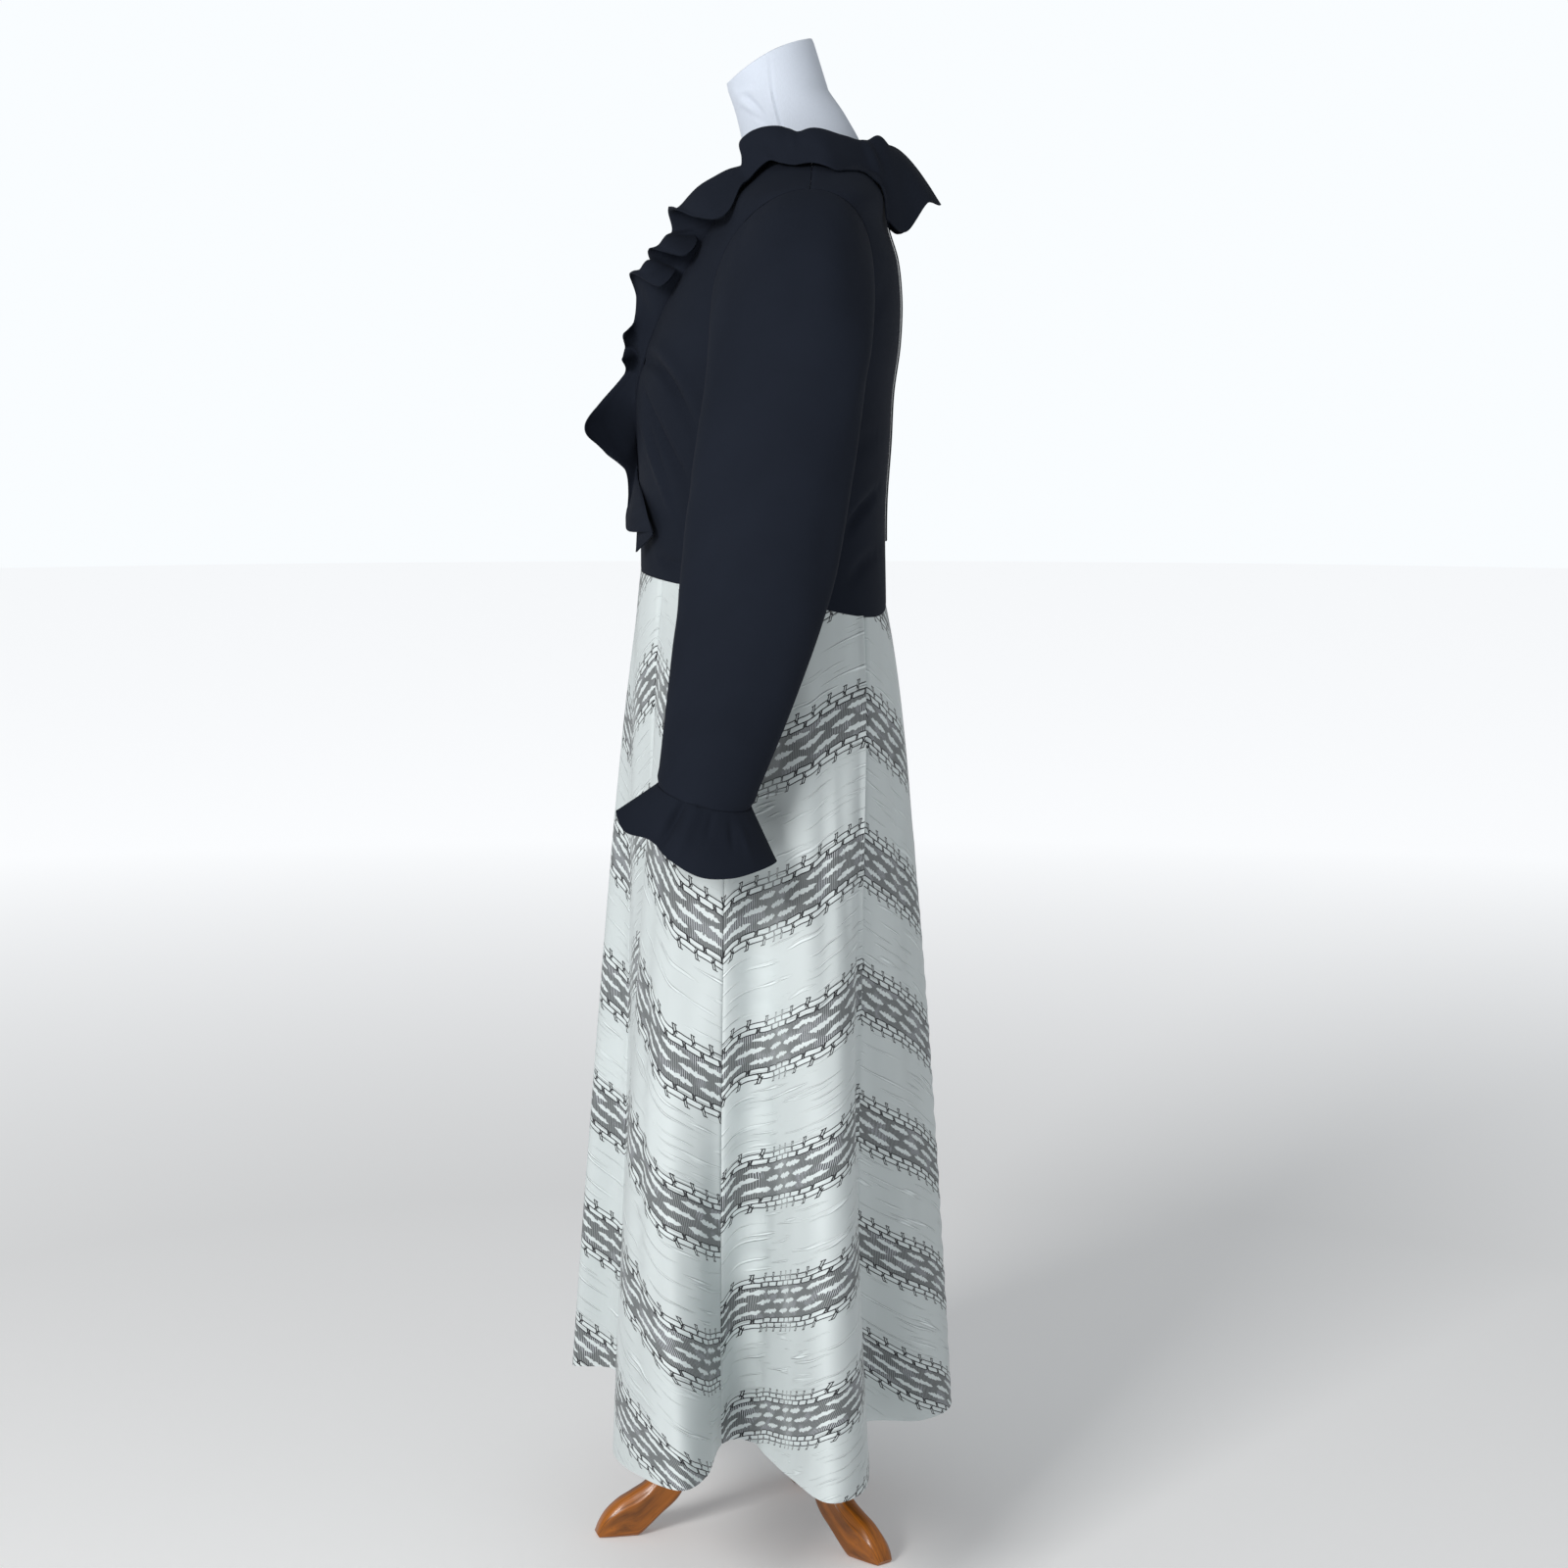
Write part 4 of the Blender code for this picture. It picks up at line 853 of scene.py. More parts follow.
def waist_drop(angle, z, share):
    """Rows near the waist moved to the waist seam, fading out over the lowest third."""
    return z + waist_rise(angle) * np.clip(1 - share * 3.0, 0, 1) + SEAM_GAP / 2


def front_panel():
    """Left front: straight lines in angle and height from the centre and neck edge to the outer edge."""
    out_angle, out_z = panel_outer_edge(-1)
    rows = len(out_z)
    below = np.linspace(WAIST_Z, V_BOTTOM_Z, UNDER_V_ROWS + 1)
    above = np.linspace(V_BOTTOM_Z, NECK_POINT_Z, rows - UNDER_V_ROWS)[1:]
    in_z = np.concatenate([below, above])
    in_x = np.maximum(neckline_x(in_z), SEAM_GAP / 2)
    in_x[:UNDER_V_ROWS + 1] = SEAM_GAP / 2
    in_angle = angle_of_x(in_x, in_z)
    in_angle[-1] = out_angle[-1]
    column = np.linspace(0, 1, FRONT_COLUMNS + 1)[None, :]
    angle = in_angle[:, None] + (out_angle - in_angle)[:, None] * column
    z = in_z[:, None] + (out_z - in_z)[:, None] * column
    share = np.linspace(0, 1, rows)[:, None] + np.zeros_like(z)
    return torso(angle, waist_drop(angle, z, share))


def back_panel():
    """Left back: straight lines from the centre back out, drawn up to the neck and the shoulder seam."""
    out_angle, out_z = panel_outer_edge(1)
    rows = len(out_z)
    in_z = np.linspace(WAIST_Z, BACK_NECK_Z, rows)
    in_angle = np.full(rows, math.pi - CENTRE_GAP_ANGLE)
    column = np.linspace(0, 1, BACK_COLUMNS + 1)[None, :]
    angle = in_angle[:, None] + (out_angle - in_angle)[:, None] * column
    z = in_z[:, None] + (out_z - in_z)[:, None] * column
    half_way = np.clip(column * 2, 0, 1)
    rest = np.clip(column * 2 - 1, 0, 1)
    top_angle = in_angle[-1] + (out_angle[-1] - in_angle[-1]) * half_way
    top_z = BACK_NECK_Z + (NECK_POINT_Z - BACK_NECK_Z) * half_way + (out_z[-1] - NECK_POINT_Z) * rest
    share = np.linspace(0, 1, rows)[:, None] + np.zeros_like(z)
    pull = share ** 3
    angle = angle + pull * (top_angle - angle[-1:])
    z = z + pull * (top_z - z[-1:])
    return torso(angle, waist_drop(angle, z, share))


def bodice_walls(panel, creases, sizes):
    """Outer and inner face of a panel: creases and seam grooves sunk along the torso's normals."""
    normal = torso_normal(panel)
    sunk = (edge_groove(panel, PANEL_GROOVE, sizes.seam_depth, ("first", "last", "low"))
            + edge_groove(panel, SHOULDER_GROOVE, sizes.seam_depth, ("high",))
            + sizes.crease_depth * crease_sum(panel, creases))
    face = panel - sunk[..., None] * normal
    return face, face - sizes.cloth_thickness * normal


def lap_piece(sizes):
    """Lap over the zip: a strip moved out from the left back beside the centre seam."""
    back = back_panel()[LAP_ROWS[0]:LAP_ROWS[1] + 1]
    rows = back[:, :1]
    strip = rows + unit(back[:, LAP_ASIDE:LAP_ASIDE + 1] - rows) * LAP_COLUMNS[None, :, None]
    normal = torso_normal(strip)
    low = strip + normal * LAP_LIFT
    # A stitch line near the free edge pulls the strip down a little
    place, width, depth = LAP_STITCH
    line = depth * bell(LAP_COLUMNS - place, width)
    high = low + normal * (sizes.cloth_thickness - line)[None, :, None]
    return wall_piece("zip_lap", high, low, False, {"cloth": plain_map(strip)})


# Sleeves and cuffs


def sleeve_ring(turn, height):
    """Oval ring of the sleeve at a height, lower at the back and the outer side."""
    table = SLEEVE[::-1]
    x, y, deep, wide, back_fall, out_fall = smooth_curve(table[:, 0], table[:, 1:], height)
    back = deep * np.cos(turn)
    out = wide * np.sin(turn)
    return np.stack([x + out, y + back, height - back_fall * back - out_fall * out], axis=-1)


def sleeve_face():
    """Rings from the armhole to the cuff: a cubic cap from the armhole to the first oval, then ovals."""
    turn = math.radians(270) - full_turn(SLEEVE_COLUMNS)
    y, z = armhole(turn)
    share = np.abs(depth_share(y, z)) ** TORSO_POWER
    start = np.stack([torso_row(z)[0] * (1 - share) ** (1 / TORSO_POWER), y, z], axis=-1)
    end = sleeve_ring(turn, SLEEVE[0, 0])
    reach = np.linalg.norm(end - start, axis=1, keepdims=True)
    lead = np.stack([0.85 + 0.1 * np.sin(turn), 0.10 * np.cos(turn), -0.55 + 0.15 * np.sin(turn)], axis=-1)
    tail = unit(sleeve_ring(turn, SLEEVE[0, 0] - 0.01) - end)
    cap = cubic(np.linspace(0, 1, CAP_ROWS + 1)[:, None, None], start, reach * lead, end, reach * tail)
    heights = np.linspace(SLEEVE[0, 0], SLEEVE[-1, 0], SLEEVE_ROWS + 1)[1:]
    return np.concatenate([cap, np.stack([sleeve_ring(turn, height) for height in heights])])


def sleeve_walls(rings, sizes):
    """Outer and inner face of a sleeve: its grooves at head and end, the swell at its end, its creases."""
    normal = turned_out(face_normals(rings, True), rings, rings.mean(axis=1, keepdims=True))
    down = arc_lengths(rings, 0)
    left = down[-1:] - down
    swell_place, swell_width, swell = SLEEVE_END_SWELL
    seams = (SLEEVE_HEAD_GROOVE[1] * bell(down, SLEEVE_HEAD_GROOVE[0])
             + SLEEVE_END_GROOVE[1] * bell(left, SLEEVE_END_GROOVE[0])
             - swell * bell(left - swell_place, swell_width))
    sunk = sizes.seam_depth * seams + sizes.crease_depth * crease_sum(rings, SLEEVE_CREASES)
    face = rings - sunk[..., None] * normal
    return face, face - sizes.cloth_thickness * normal


def cuff_face():
    """Cuff flounce: from the sleeve's end to the waved edge, flaring out below its seam."""
    turn = full_turn(CUFF_COLUMNS)
    height = SLEEVE[-1, 0]
    root = sleeve_ring(turn, height) - np.array((0, 0, CUFF_ROOT_DROP))
    whole = np.array((360, 0, 0, 0))
    waves = np.concatenate([CUFF_WAVES[-2:] - whole, CUFF_WAVES, CUFF_WAVES[:2] + whole])
    edge = smooth_curve(np.radians(waves[:, 0]), waves[:, 1:], turn)
    edge = edge + np.array((SLEEVE[-1, 1], SLEEVE[-1, 2], height))
    face = root + (edge - root) * np.linspace(0, 1, CUFF_ROWS + 1)[:, None, None]
    normal = turned_out(face_normals(face, True), face, face.mean(axis=1, keepdims=True))
    face = creased(face, normal, CUFF_CREASES)
    # The seam allowance stands up inside the sleeve
    rings = [sleeve_ring(turn, height + rise) for rise in CUFF_TUCK_HEIGHTS]
    drawn_in = [ring + CUFF_TUCK_INWARDS * unit(ring.mean(axis=0) - ring) for ring in rings]
    return np.concatenate([np.stack(drawn_in), face])


def flounce_walls(face, closed, outside, sizes):
    """Both faces of a flounce: its wall, outside by a share of it, thickens to a rolled hem at its edge."""
    normal = face_normals(face, closed)
    down = arc_lengths(face, 0)
    swell = sizes.rolled_hem / 2 * bell(down[-1:] - down, ROLL_WIDTH)[..., None]
    wall = sizes.flounce_thickness
    return face - (outside * wall + swell) * normal, face + ((1 - outside) * wall + swell) * normal


# Neck flounce


def neck_seam(along):
    """Neck edge by length from the centre back, and the direction away from the bodice there."""
    back_angle = np.linspace(math.pi - COLLAR_BACK_ANGLE, math.pi / 2, 40)
    back_z = BACK_NECK_Z + (NECK_POINT_Z - BACK_NECK_Z) * np.linspace(0, 1, 40)
    front_z = np.linspace(NECK_POINT_Z, V_BOTTOM_Z, 80)[1:]
    front_angle = angle_of_x(neckline_x(front_z) + FLOUNCE_LAP, front_z)
    angle = np.concatenate([back_angle, front_angle])
    z = np.concatenate([back_z, front_z])
    points = torso(angle, z)
    steps = np.linalg.norm(np.diff(points, axis=0), axis=1)
    length = np.concatenate([[0.0], np.cumsum(steps)])
    length = length * NECK_WAVES[-1, 0] / length[-1]
    normal = unit(np.cross(np.gradient(points, axis=0), torso(angle, z - 0.004) - points))
    found = [np.interp(along, length, points[:, axis]) for axis in range(3)]
    lift = [np.interp(along, length, normal[:, axis]) for axis in range(3)]
    return np.stack(found, axis=-1), np.stack(lift, axis=-1)


def shoulder_height(x, y):
    """Height of the bodice over each point: the highest grown section that still holds it."""
    best = np.zeros_like(x)
    for z in np.linspace(SHOULDER_LOW_Z, NECK_POINT_Z, 90):
        best = np.where(torso_level(x, y, np.array(z), SHOULDER_CLEAR) <= 1, z, best)
    return best


def pushed_out(points):
    """Points moved out of the bodice's section, or up off its shoulder, where they lie too close."""
    z = np.clip(points[..., 2], TORSO[0, 0], NECK_POINT_Z)
    centre = torso_row(z)[3]
    x = points[..., 0]
    y = points[..., 1] - centre
    level = torso_level(x, points[..., 1], z, CHEST_CLEAR) ** (1 / TORSO_POWER)
    inside = (level < 1) & (points[..., 2] < CHEST_TOP_Z) & (x > neckline_x(z) - 0.004)
    grow = np.where(inside, 1 / np.maximum(level, 0.2), 1.0)
    moved = np.stack([x * grow, centre + y * grow, points[..., 2]], axis=-1)
    floor = shoulder_height(moved[..., 0], moved[..., 1])
    over = (floor > 0) & (moved[..., 2] > SHOULDER_LOW_Z) & (np.abs(x) > COLLAR_NECK_X)
    risen = np.maximum(floor + SHOULDER_CLEAR - moved[..., 2], 0)
    risen = risen * np.minimum(np.arange(len(points)) / COLLAR_RISING_ROWS, 1)[:, None]
    moved[..., 2] = moved[..., 2] + np.where(over, risen, 0)
    return moved


def neck_flounce_face():
    """Left neck flounce: the parabola through the neck seam, the ridge and the waved edge at each place."""
    along = np.linspace(0, NECK_WAVES[-1, 0], FLOUNCE_COLUMNS + 1)
    seam, lift = neck_seam(along)
    ridge = smooth_curve(NECK_RIDGE[:, 0], NECK_RIDGE[:, 1:], along)
    edge = smooth_curve(NECK_WAVES[:, 0], NECK_WAVES[:, 1:], along)
    part = np.linspace(0, 1, FLOUNCE_ROWS + 1)[:, None, None]
    face = pushed_out(parabola(part, seam + lift * FLOUNCE_LIFT, ridge, edge, NECK_RIDGE_PART))
    face = creased(face, face_normals(face, False), COLLAR_CREASES)
    # The first row is caught in the neck seam
    face = np.concatenate([(seam - lift * FLOUNCE_TUCK)[None], face])
    face[..., 0] = np.maximum(face[..., 0], HALF_COLLAR_GAP)
    return face


# Skirt


def skirt_face(fold, down):
    """Point of the skirt: smooth curves through the folds round it, a parabola down it and a swell at
    the hip."""
    count = len(SKIRT_FOLDS)
    keys = np.arange(-2, count + 3)
    table = SKIRT_FOLDS[keys % count].copy()
    table[:, 0] += 360.0 * (keys // count)
    row = smooth_curve(keys, table, fold)
    angle = np.radians(row[..., 0])
    top = torso(angle, np.full_like(angle, WAIST_Z))
    middle = (WAIST_Z - MID_SKIRT_Z) / (WAIST_Z - HEM_Z)
    swell = HIP_SWELL * (down / HIP_PLACE) * np.exp(1 - down / HIP_PLACE) * (1 - down)
    x = parabola(down, top[..., 0], row[..., 1], row[..., 3], middle) + swell * np.sin(angle)
    y = parabola(down, top[..., 1], row[..., 2], row[..., 4], middle) - swell * np.cos(angle)
    start = WAIST_Z + waist_rise(angle) - SEAM_GAP / 2
    return np.stack([x, y, start + (HEM_Z - start) * down], axis=-1)


def gore_columns(first, last):
    """Fold numbers across a gore, with close columns beside both seams for the pressed groove."""
    inside = np.linspace(first, last, (last - first) * FOLD_STEPS + 1)
    return np.unique(np.concatenate([inside, first + SEAM_COLUMNS, last - SEAM_COLUMNS]))


def band_maps(across, down_length, low_last, kind):
    """Band map: metres along the band from the low seam, drawn together at the gore's middle, and the
    band number, from the two seams' places of the bands mixed across the gore by its rise. Then a map
    of the closeness to that middle."""
    low, high, middle = BAND_PLACES[kind]
    rise = np.array(BAND_RISES[kind])
    width = across[:, -1:]
    from_low = width - across if low_last else across
    upper, lower = np.moveaxis(smooth_curve(rise[:, 0], rise[:, 1:], from_low / width), -1, 0)
    part = upper + (lower - upper) * np.clip((down_length - RISE_CHANGE[0]) / RISE_CHANGE[1], 0, 1)
    a, b, c = (first + (second - first) * part for first, second in zip(low, high))
    number = (-b + np.sqrt(np.maximum(b * b - 4 * c * (a - down_length), 1e-9))) / (2 * c)
    beside = from_low - middle * width
    tight, strength = MOTIF_DRAW
    along = from_low + strength * tight * np.tanh(beside / tight)
    close = bell(beside, tight)
    return np.stack([along, number], axis=-1), np.stack([close, np.zeros_like(close)], axis=-1)


def gore_sunk(outer, across, name, kind, low_last, sizes):
    """Depth by which a gore is sunk: its seams, the trough at its high seam and its soft folds."""
    sunk = edge_groove(outer, GORE_GROOVE, sizes.seam_depth, ("first", "last"))
    from_high = across if low_last else across[:, -1:] - across
    width, depth = HIGH_SEAM_TROUGH
    sunk = sunk + depth * sizes.crease_depth * bell(from_high, width)
    if kind == "side_back":
        place, width, height = HIGH_SEAM_PINCH
        sunk = sunk - height * sizes.crease_depth * bell(from_high - place, width)
    beside = np.clip(np.minimum(across, across[:, -1:] - across) / SEAM_FADE, 0, 1)
    fade = beside ** 2 * (3 - 2 * beside)
    for path, width, depth in GORE_CREASES[name]:
        spots = skirt_face(*bent_path(path).T)
        sunk = sunk + sizes.crease_depth * fade * crease(outer, spots, width, depth)
    return sunk


def gore_piece(name, first, last, low_last, kind, sizes):
    """One gore: its grid sunk along the normals, half a seam gap drawn in at both edges, and its wall."""
    columns = gore_columns(first, last)
    fold = columns[None, :] + np.zeros((SKIRT_ROWS + 1, 1))
    down = np.linspace(0, 1, SKIRT_ROWS + 1)[:, None] + np.zeros_like(fold)
    outer = skirt_face(fold, down)
    step = 1e-4
    round_it = unit(skirt_face(fold + step, down) - skirt_face(fold - step, down))
    fall = skirt_face(fold, down + step) - skirt_face(fold, down - step)
    normal = turned_out(unit(np.cross(round_it, fall)), outer, outer * np.array((0, 0, 1)))
    across = arc_lengths(outer, 1)
    down_length = arc_lengths(outer, 0)
    sunk = gore_sunk(outer, across, name, kind, low_last, sizes)
    inset = np.zeros(len(columns))
    inset[0] = SEAM_GAP / 2
    inset[-1] = -SEAM_GAP / 2
    outer = outer - sunk[..., None] * normal + round_it * inset[None, :, None]
    bands, close = band_maps(across, down_length, low_last, kind)
    maps = {"cloth": np.stack([across, down_length], axis=-1), "bands": bands, "middle": close}
    inner = outer - sizes.cloth_thickness * normal
    return wall_piece(name.replace("gore_", "skirt_"), outer, inner, False, maps)


# Form and stand


def form_ring(z):
    """Section of the form: the torso drawn in under the cloth, blended with the neck's oval."""
    turn = full_turn(FORM_COLUMNS)
    inside = np.interp(z, *FORM_INSETS)
    raised = min(z + np.interp(z, [1.30, 1.38], [0.0, 0.0062]), NECK_POINT_Z)
    half, front, back, centre = torso_row(np.array(max(raised, TORSO[0, 0])))
    hips = np.interp(z, [FORM_BOTTOM_Z, 0.94], [0.022, 0.0])
    half = half - inside + hips
    front = front - inside + hips * 0.4
    back = back - inside + hips * 0.8
    fade = np.interp(z, [NECK_POINT_Z - 0.012, NECK_POINT_Z + 0.004], [1.0, 0.0])
    sine = np.sin(turn)
    cosine = np.cos(turn)
    depth = np.where(cosine > 0, front, back)
    level = np.abs(sine / half) ** TORSO_POWER + np.abs(cosine / depth) ** TORSO_POWER
    reach = level ** (-1 / TORSO_POWER) * fade + 1e-4
    if z > FORM_NECK[0, 0]:
        middle_y, wide, deep = smooth_curve(FORM_NECK[:, 0], FORM_NECK[:, 1:], z)
        shift = centre - middle_y
        # Distance from the torso's centre to the neck's oval along each direction
        a = (sine / wide) ** 2 + (cosine / deep) ** 2
        b = -2 * shift * cosine / deep ** 2
        c = shift ** 2 / deep ** 2 - 1
        neck = (-b + np.sqrt(np.maximum(b * b - 4 * a * c, 0))) / (2 * a)
        reach = (reach ** 14 + neck ** 14) ** (1 / 14)
    return np.stack([reach * sine, centre - reach * cosine, np.full(FORM_COLUMNS, float(z))], axis=-1)


def wrinkled(rings):
    """Neck rings with the jersey's side seam and wrinkles: bells over the distance from paths seen from
    the side."""
    outward = unit((rings - rings.mean(axis=1, keepdims=True)) * np.array((1, 1, 0)))
    sunk = crease_sum(rings[..., 1:], NECK_CREASES, 90)
    beside = np.clip(np.abs(rings[..., 0]) / 0.03, 0, 1)
    return rings - (sunk * beside)[..., None] * outward


def form_piece():
    """Form as rings from its base to its neck, with a soft rolled edge and a slightly crowned top."""
    body = [form_ring(z) for z in FORM_HEIGHTS]
    bare = int((FORM_HEIGHTS < FORM_WRINKLED_Z).sum())
    body[bare:] = wrinkled(np.stack(body[bare:]))
    rim = form_ring(FORM_TOP_FRONT_Z + 0.012)
    back = rim[:, 1] - rim[:, 1].min()
    crown = FORM_TOP_CROWN * np.sin(math.pi * back / back.max())
    rim[:, 2] = FORM_TOP_FRONT_Z + FORM_TOP_SLOPE * back + crown
    rim[:, 1] -= FORM_TOP_LEAN * (rim[:, 2] - FORM_TOP_FRONT_Z - 0.012)
    neck = [body[-1] + (rim - body[-1]) * part for part in FORM_NECK_SHARES]
    centre = rim.mean(axis=0) + np.array((0.0, 0.0, FORM_TOP_CROWN))
    # The rim rolls over a small radius, and then the top runs to its centre
    rolled = []
    for drawn, sunk in FORM_RIM_ROLL:
        ring = centre + (rim - centre) * drawn
        ring[:, 2] = rim[:, 2] + (centre[2] - rim[:, 2]) * (1 - drawn) ** 1.3 - sunk
        rolled.append(ring)
    top = [centre + (rim - centre) * drawn for drawn in FORM_TOP_SHARES]
    base = body[0].mean(axis=0)
    edge = base + (body[0] - base) * 0.96 + np.array((0, 0, -0.0008))
    return ring_solid("form_cover", np.stack([edge, *body, *neck, *rolled, *top]), base, centre, 60)


def turned_piece(name, profile, count):
    """Solid turned about the z axis from a list of radius and height, lowest first."""
    turn = full_turn(count)
    profile = np.array(profile)
    rings = np.stack([profile[:, :1] * np.cos(turn), profile[:, :1] * np.sin(turn),
                      profile[:, 1:] + np.zeros(count)], axis=-1)
    base, top = (np.array((0.0, 0.0, height)) for height in profile[[0, -1], 1])
    return ring_solid(name, rings, base, top, 50)


def leg_piece(name, degrees):
    """Leg: the moulded section carried along the smooth curves of its upper and lower edge."""
    keys = len(LEG_EDGES)
    stations = np.linspace(0, keys - 1, LEG_STATIONS)
    edges = smooth_curve(np.arange(keys), LEG_EDGES, stations)
    edges[:, 3] = np.maximum(edges[:, 3], 0.0)
    width = LEG_HALF_WIDTH * np.interp(stations, *LEG_TIP_SHARES)
    turn = math.radians(degrees)
    away = np.array((math.cos(turn), math.sin(turn), 0.0))
    aside = np.array((-math.sin(turn), math.cos(turn), 0.0))
    height, spread = np.array(LEG_CORNERS).T
    radius = edges[:, 2:3] + (edges[:, 0:1] - edges[:, 2:3]) * height
    z = edges[:, 3:4] + (edges[:, 1:2] - edges[:, 3:4]) * height
    points = (radius[..., None] * away + (spread * width[:, None])[..., None] * aside
              + z[..., None] * np.array((0.0, 0.0, 1.0)))
    count = len(LEG_CORNERS)
    corner = np.arange(count)
    grain = np.stack([np.arange(count + 1) * 0.005 + np.zeros((LEG_STATIONS, 1)),
                      stations[:, None] * 0.02 + np.zeros((1, count + 1))], axis=-1)
    faces = quad_grid(LEG_STATIONS, count, count).tolist()
    faces = faces + [corner[::-1].tolist(), (corner + (LEG_STATIONS - 1) * count).tolist()]
    corners = np.concatenate([quad_grid(LEG_STATIONS, count + 1, count).reshape(-1), corner[::-1],
                              corner + (LEG_STATIONS - 1) * (count + 1)])
    return mesh_piece(name, points, faces, 38, {"grain": grain}, corners)


# Parts of the looks


def new_look(name):
    """New look: its material, its tree and its shader."""
    look = bpy.data.materials.new(name)
    look.use_nodes = True
    return look, look.node_tree, look.node_tree.nodes["Principled BSDF"]


def add(tree, kind, **values):
    """Node of a kind, with its own settings."""
    made = tree.nodes.new(kind)
    for key, value in values.items():
        setattr(made, key, value)
    return made


def feed(tree, node, values):
    """Link or set the named sockets of a node."""
    for key, value in values.items():
        if isinstance(value, bpy.types.NodeSocket):
            tree.links.new(value, node.inputs[key])
        else:
            node.inputs[key].default_value = value


def calc(tree, operation, *values):
    """Math node of up to three values."""
    made = add(tree, "ShaderNodeMath", operation=operation)
    feed(tree, made, dict(enumerate(values)))
    return made.outputs[0]


def plus(tree, first, second):
    """Sum of two values."""
    return calc(tree, "ADD", first, second)


def minus(tree, first, second):
    """First value less the second."""
    return calc(tree, "SUBTRACT", first, second)


def times(tree, first, second):
    """Product of two values."""
    return calc(tree, "MULTIPLY", first, second)


def over(tree, first, second):
    """First value divided by the second."""
    return calc(tree, "DIVIDE", first, second)


def larger(tree, first, second):
    """The larger of two values."""
    return calc(tree, "MAXIMUM", first, second)


def between(tree, value, low, high):
    """1 where a value is between two others."""
    return times(tree, calc(tree, "GREATER_THAN", value, low), calc(tree, "LESS_THAN", value, high))


def any_of(tree, masks):
    """1 where one or more of the masks is 1."""
    found = masks[0]
    for mask in masks[1:]:
        found = larger(tree, found, mask)
    return found


def blend_colour(tree, share, first, second):
    """Colour between two, by a share."""
    made = add(tree, "ShaderNodeMix", data_type="RGBA", blend_type="MIX")
    feed(tree, made, {"Factor": share, 6: first, 7: second})
    return made.outputs[2]


def ramp(tree, value, low, high, to_low=0.0, to_high=1.0):
    """Value carried from one range to another, kept inside it."""
    made = add(tree, "ShaderNodeMapRange", clamp=True)
    feed(tree, made, {"Value": value, "From Min": low, "From Max": high, "To Min": to_low, "To Max": to_high})
    return made.outputs["Result"]


def noise(tree, vector, scale, detail, roughness=0.5, distortion=0.0):
    """Noise over a vector."""
    made = add(tree, "ShaderNodeTexNoise")
    feed(tree, made, {"Vector": vector, "Scale": scale, "Detail": detail, "Roughness": roughness,
                      "Distortion": distortion})
    return made.outputs["Fac"]


def stretched(tree, vector, scale, turn=0.0):
    """Vector scaled, and turned about its third axis, by a mapping."""
    made = add(tree, "ShaderNodeMapping")
    feed(tree, made, {"Vector": vector, "Scale": scale, "Rotation": (0.0, 0.0, turn)})
    return made.outputs["Vector"]


def bump(tree, height, strength, distance, normal=None):
    """Bump of a height, over another bump where there is one."""
    made = add(tree, "ShaderNodeBump")
    feed(tree, made, {"Strength": strength, "Distance": distance, "Height": height})
    if normal is not None:
        feed(tree, made, {"Normal": normal})
    return made.outputs["Normal"]


def chart_of(tree, key):
    """Flat map of the cloth by its name."""
    return add(tree, "ShaderNodeUVMap", uv_map=key).outputs["UV"]


def axis_of(tree, vector, axis):
    """One axis of a vector."""
    parts = add(tree, "ShaderNodeSeparateXYZ")
    feed(tree, parts, {0: vector})
    return parts.outputs[axis]


def shade(colour, factor=1.0):
    """Colour made darker or paler by a factor, up to white."""
    return tuple(min(1.0, channel * factor) for channel in colour) + (1.0,)


# Looks


def crepe_look(colours):
    """Matt crepe: a fine pebbled grain with a faint twist line, and a slow change of shade."""
    look, tree, shader = new_look("black_crepe_cloth")
    chart = chart_of(tree, "cloth")
    pebble = noise(tree, chart, 1500.0, 3.0, 0.6)
    twist = noise(tree, stretched(tree, chart, (2600.0, 420.0, 1.0), math.radians(24)), 1.0, 2.0)
    slow = noise(tree, chart, 9.0, 3.0, 0.55)
    tone = ramp(tree, plus(tree, times(tree, pebble, 0.65), times(tree, slow, 0.35)), 0.32, 0.68)
    height = plus(tree, pebble, times(tree, twist, 0.6))
    feed(tree, shader, {
        "Base Color": blend_colour(tree, tone, shade(colours.crepe, 0.80), shade(colours.crepe, 1.28)),
        "Roughness": ramp(tree, pebble, 0.3, 0.7, 0.78, 0.92),
        "Specular IOR Level": 0.06,
        "Sheen Weight": 0.010,
        "Sheen Roughness": 0.55,
        "Sheen Tint": (0.62, 0.68, 0.82, 1.0),
        "Normal": bump(tree, height, 0.5, 0.00022),
    })
    return look


def band_axes(tree, chart, bands, sizes):
    """Millimetres along a band, millimetres below its upper edge, wandering a little, and its number."""
    wander = noise(tree, stretched(tree, chart, (45.0, 45.0, 1.0)), 1.0, 2.0)
    raised = plus(tree, axis_of(tree, bands, "Y"), BAND_LEAD)
    number = calc(tree, "FLOOR", raised)
    spacing = sizes.band_spacing * 1000.0
    down = times(tree, minus(tree, calc(tree, "FRACT", raised), BAND_LEAD), spacing)
    down = plus(tree, down, times(tree, minus(tree, wander, 0.5), 1.4))
    along = plus(tree, times(tree, axis_of(tree, bands, "X"), 1000.0), times(tree, number, BAND_SHIFT))
    return along, down, number


def cell(tree, along, length, offset):
    """Signed distance along the band from the middle of its cell."""
    share = calc(tree, "FRACT", plus(tree, over(tree, along, length), offset))
    return times(tree, minus(tree, share, 0.5), length)


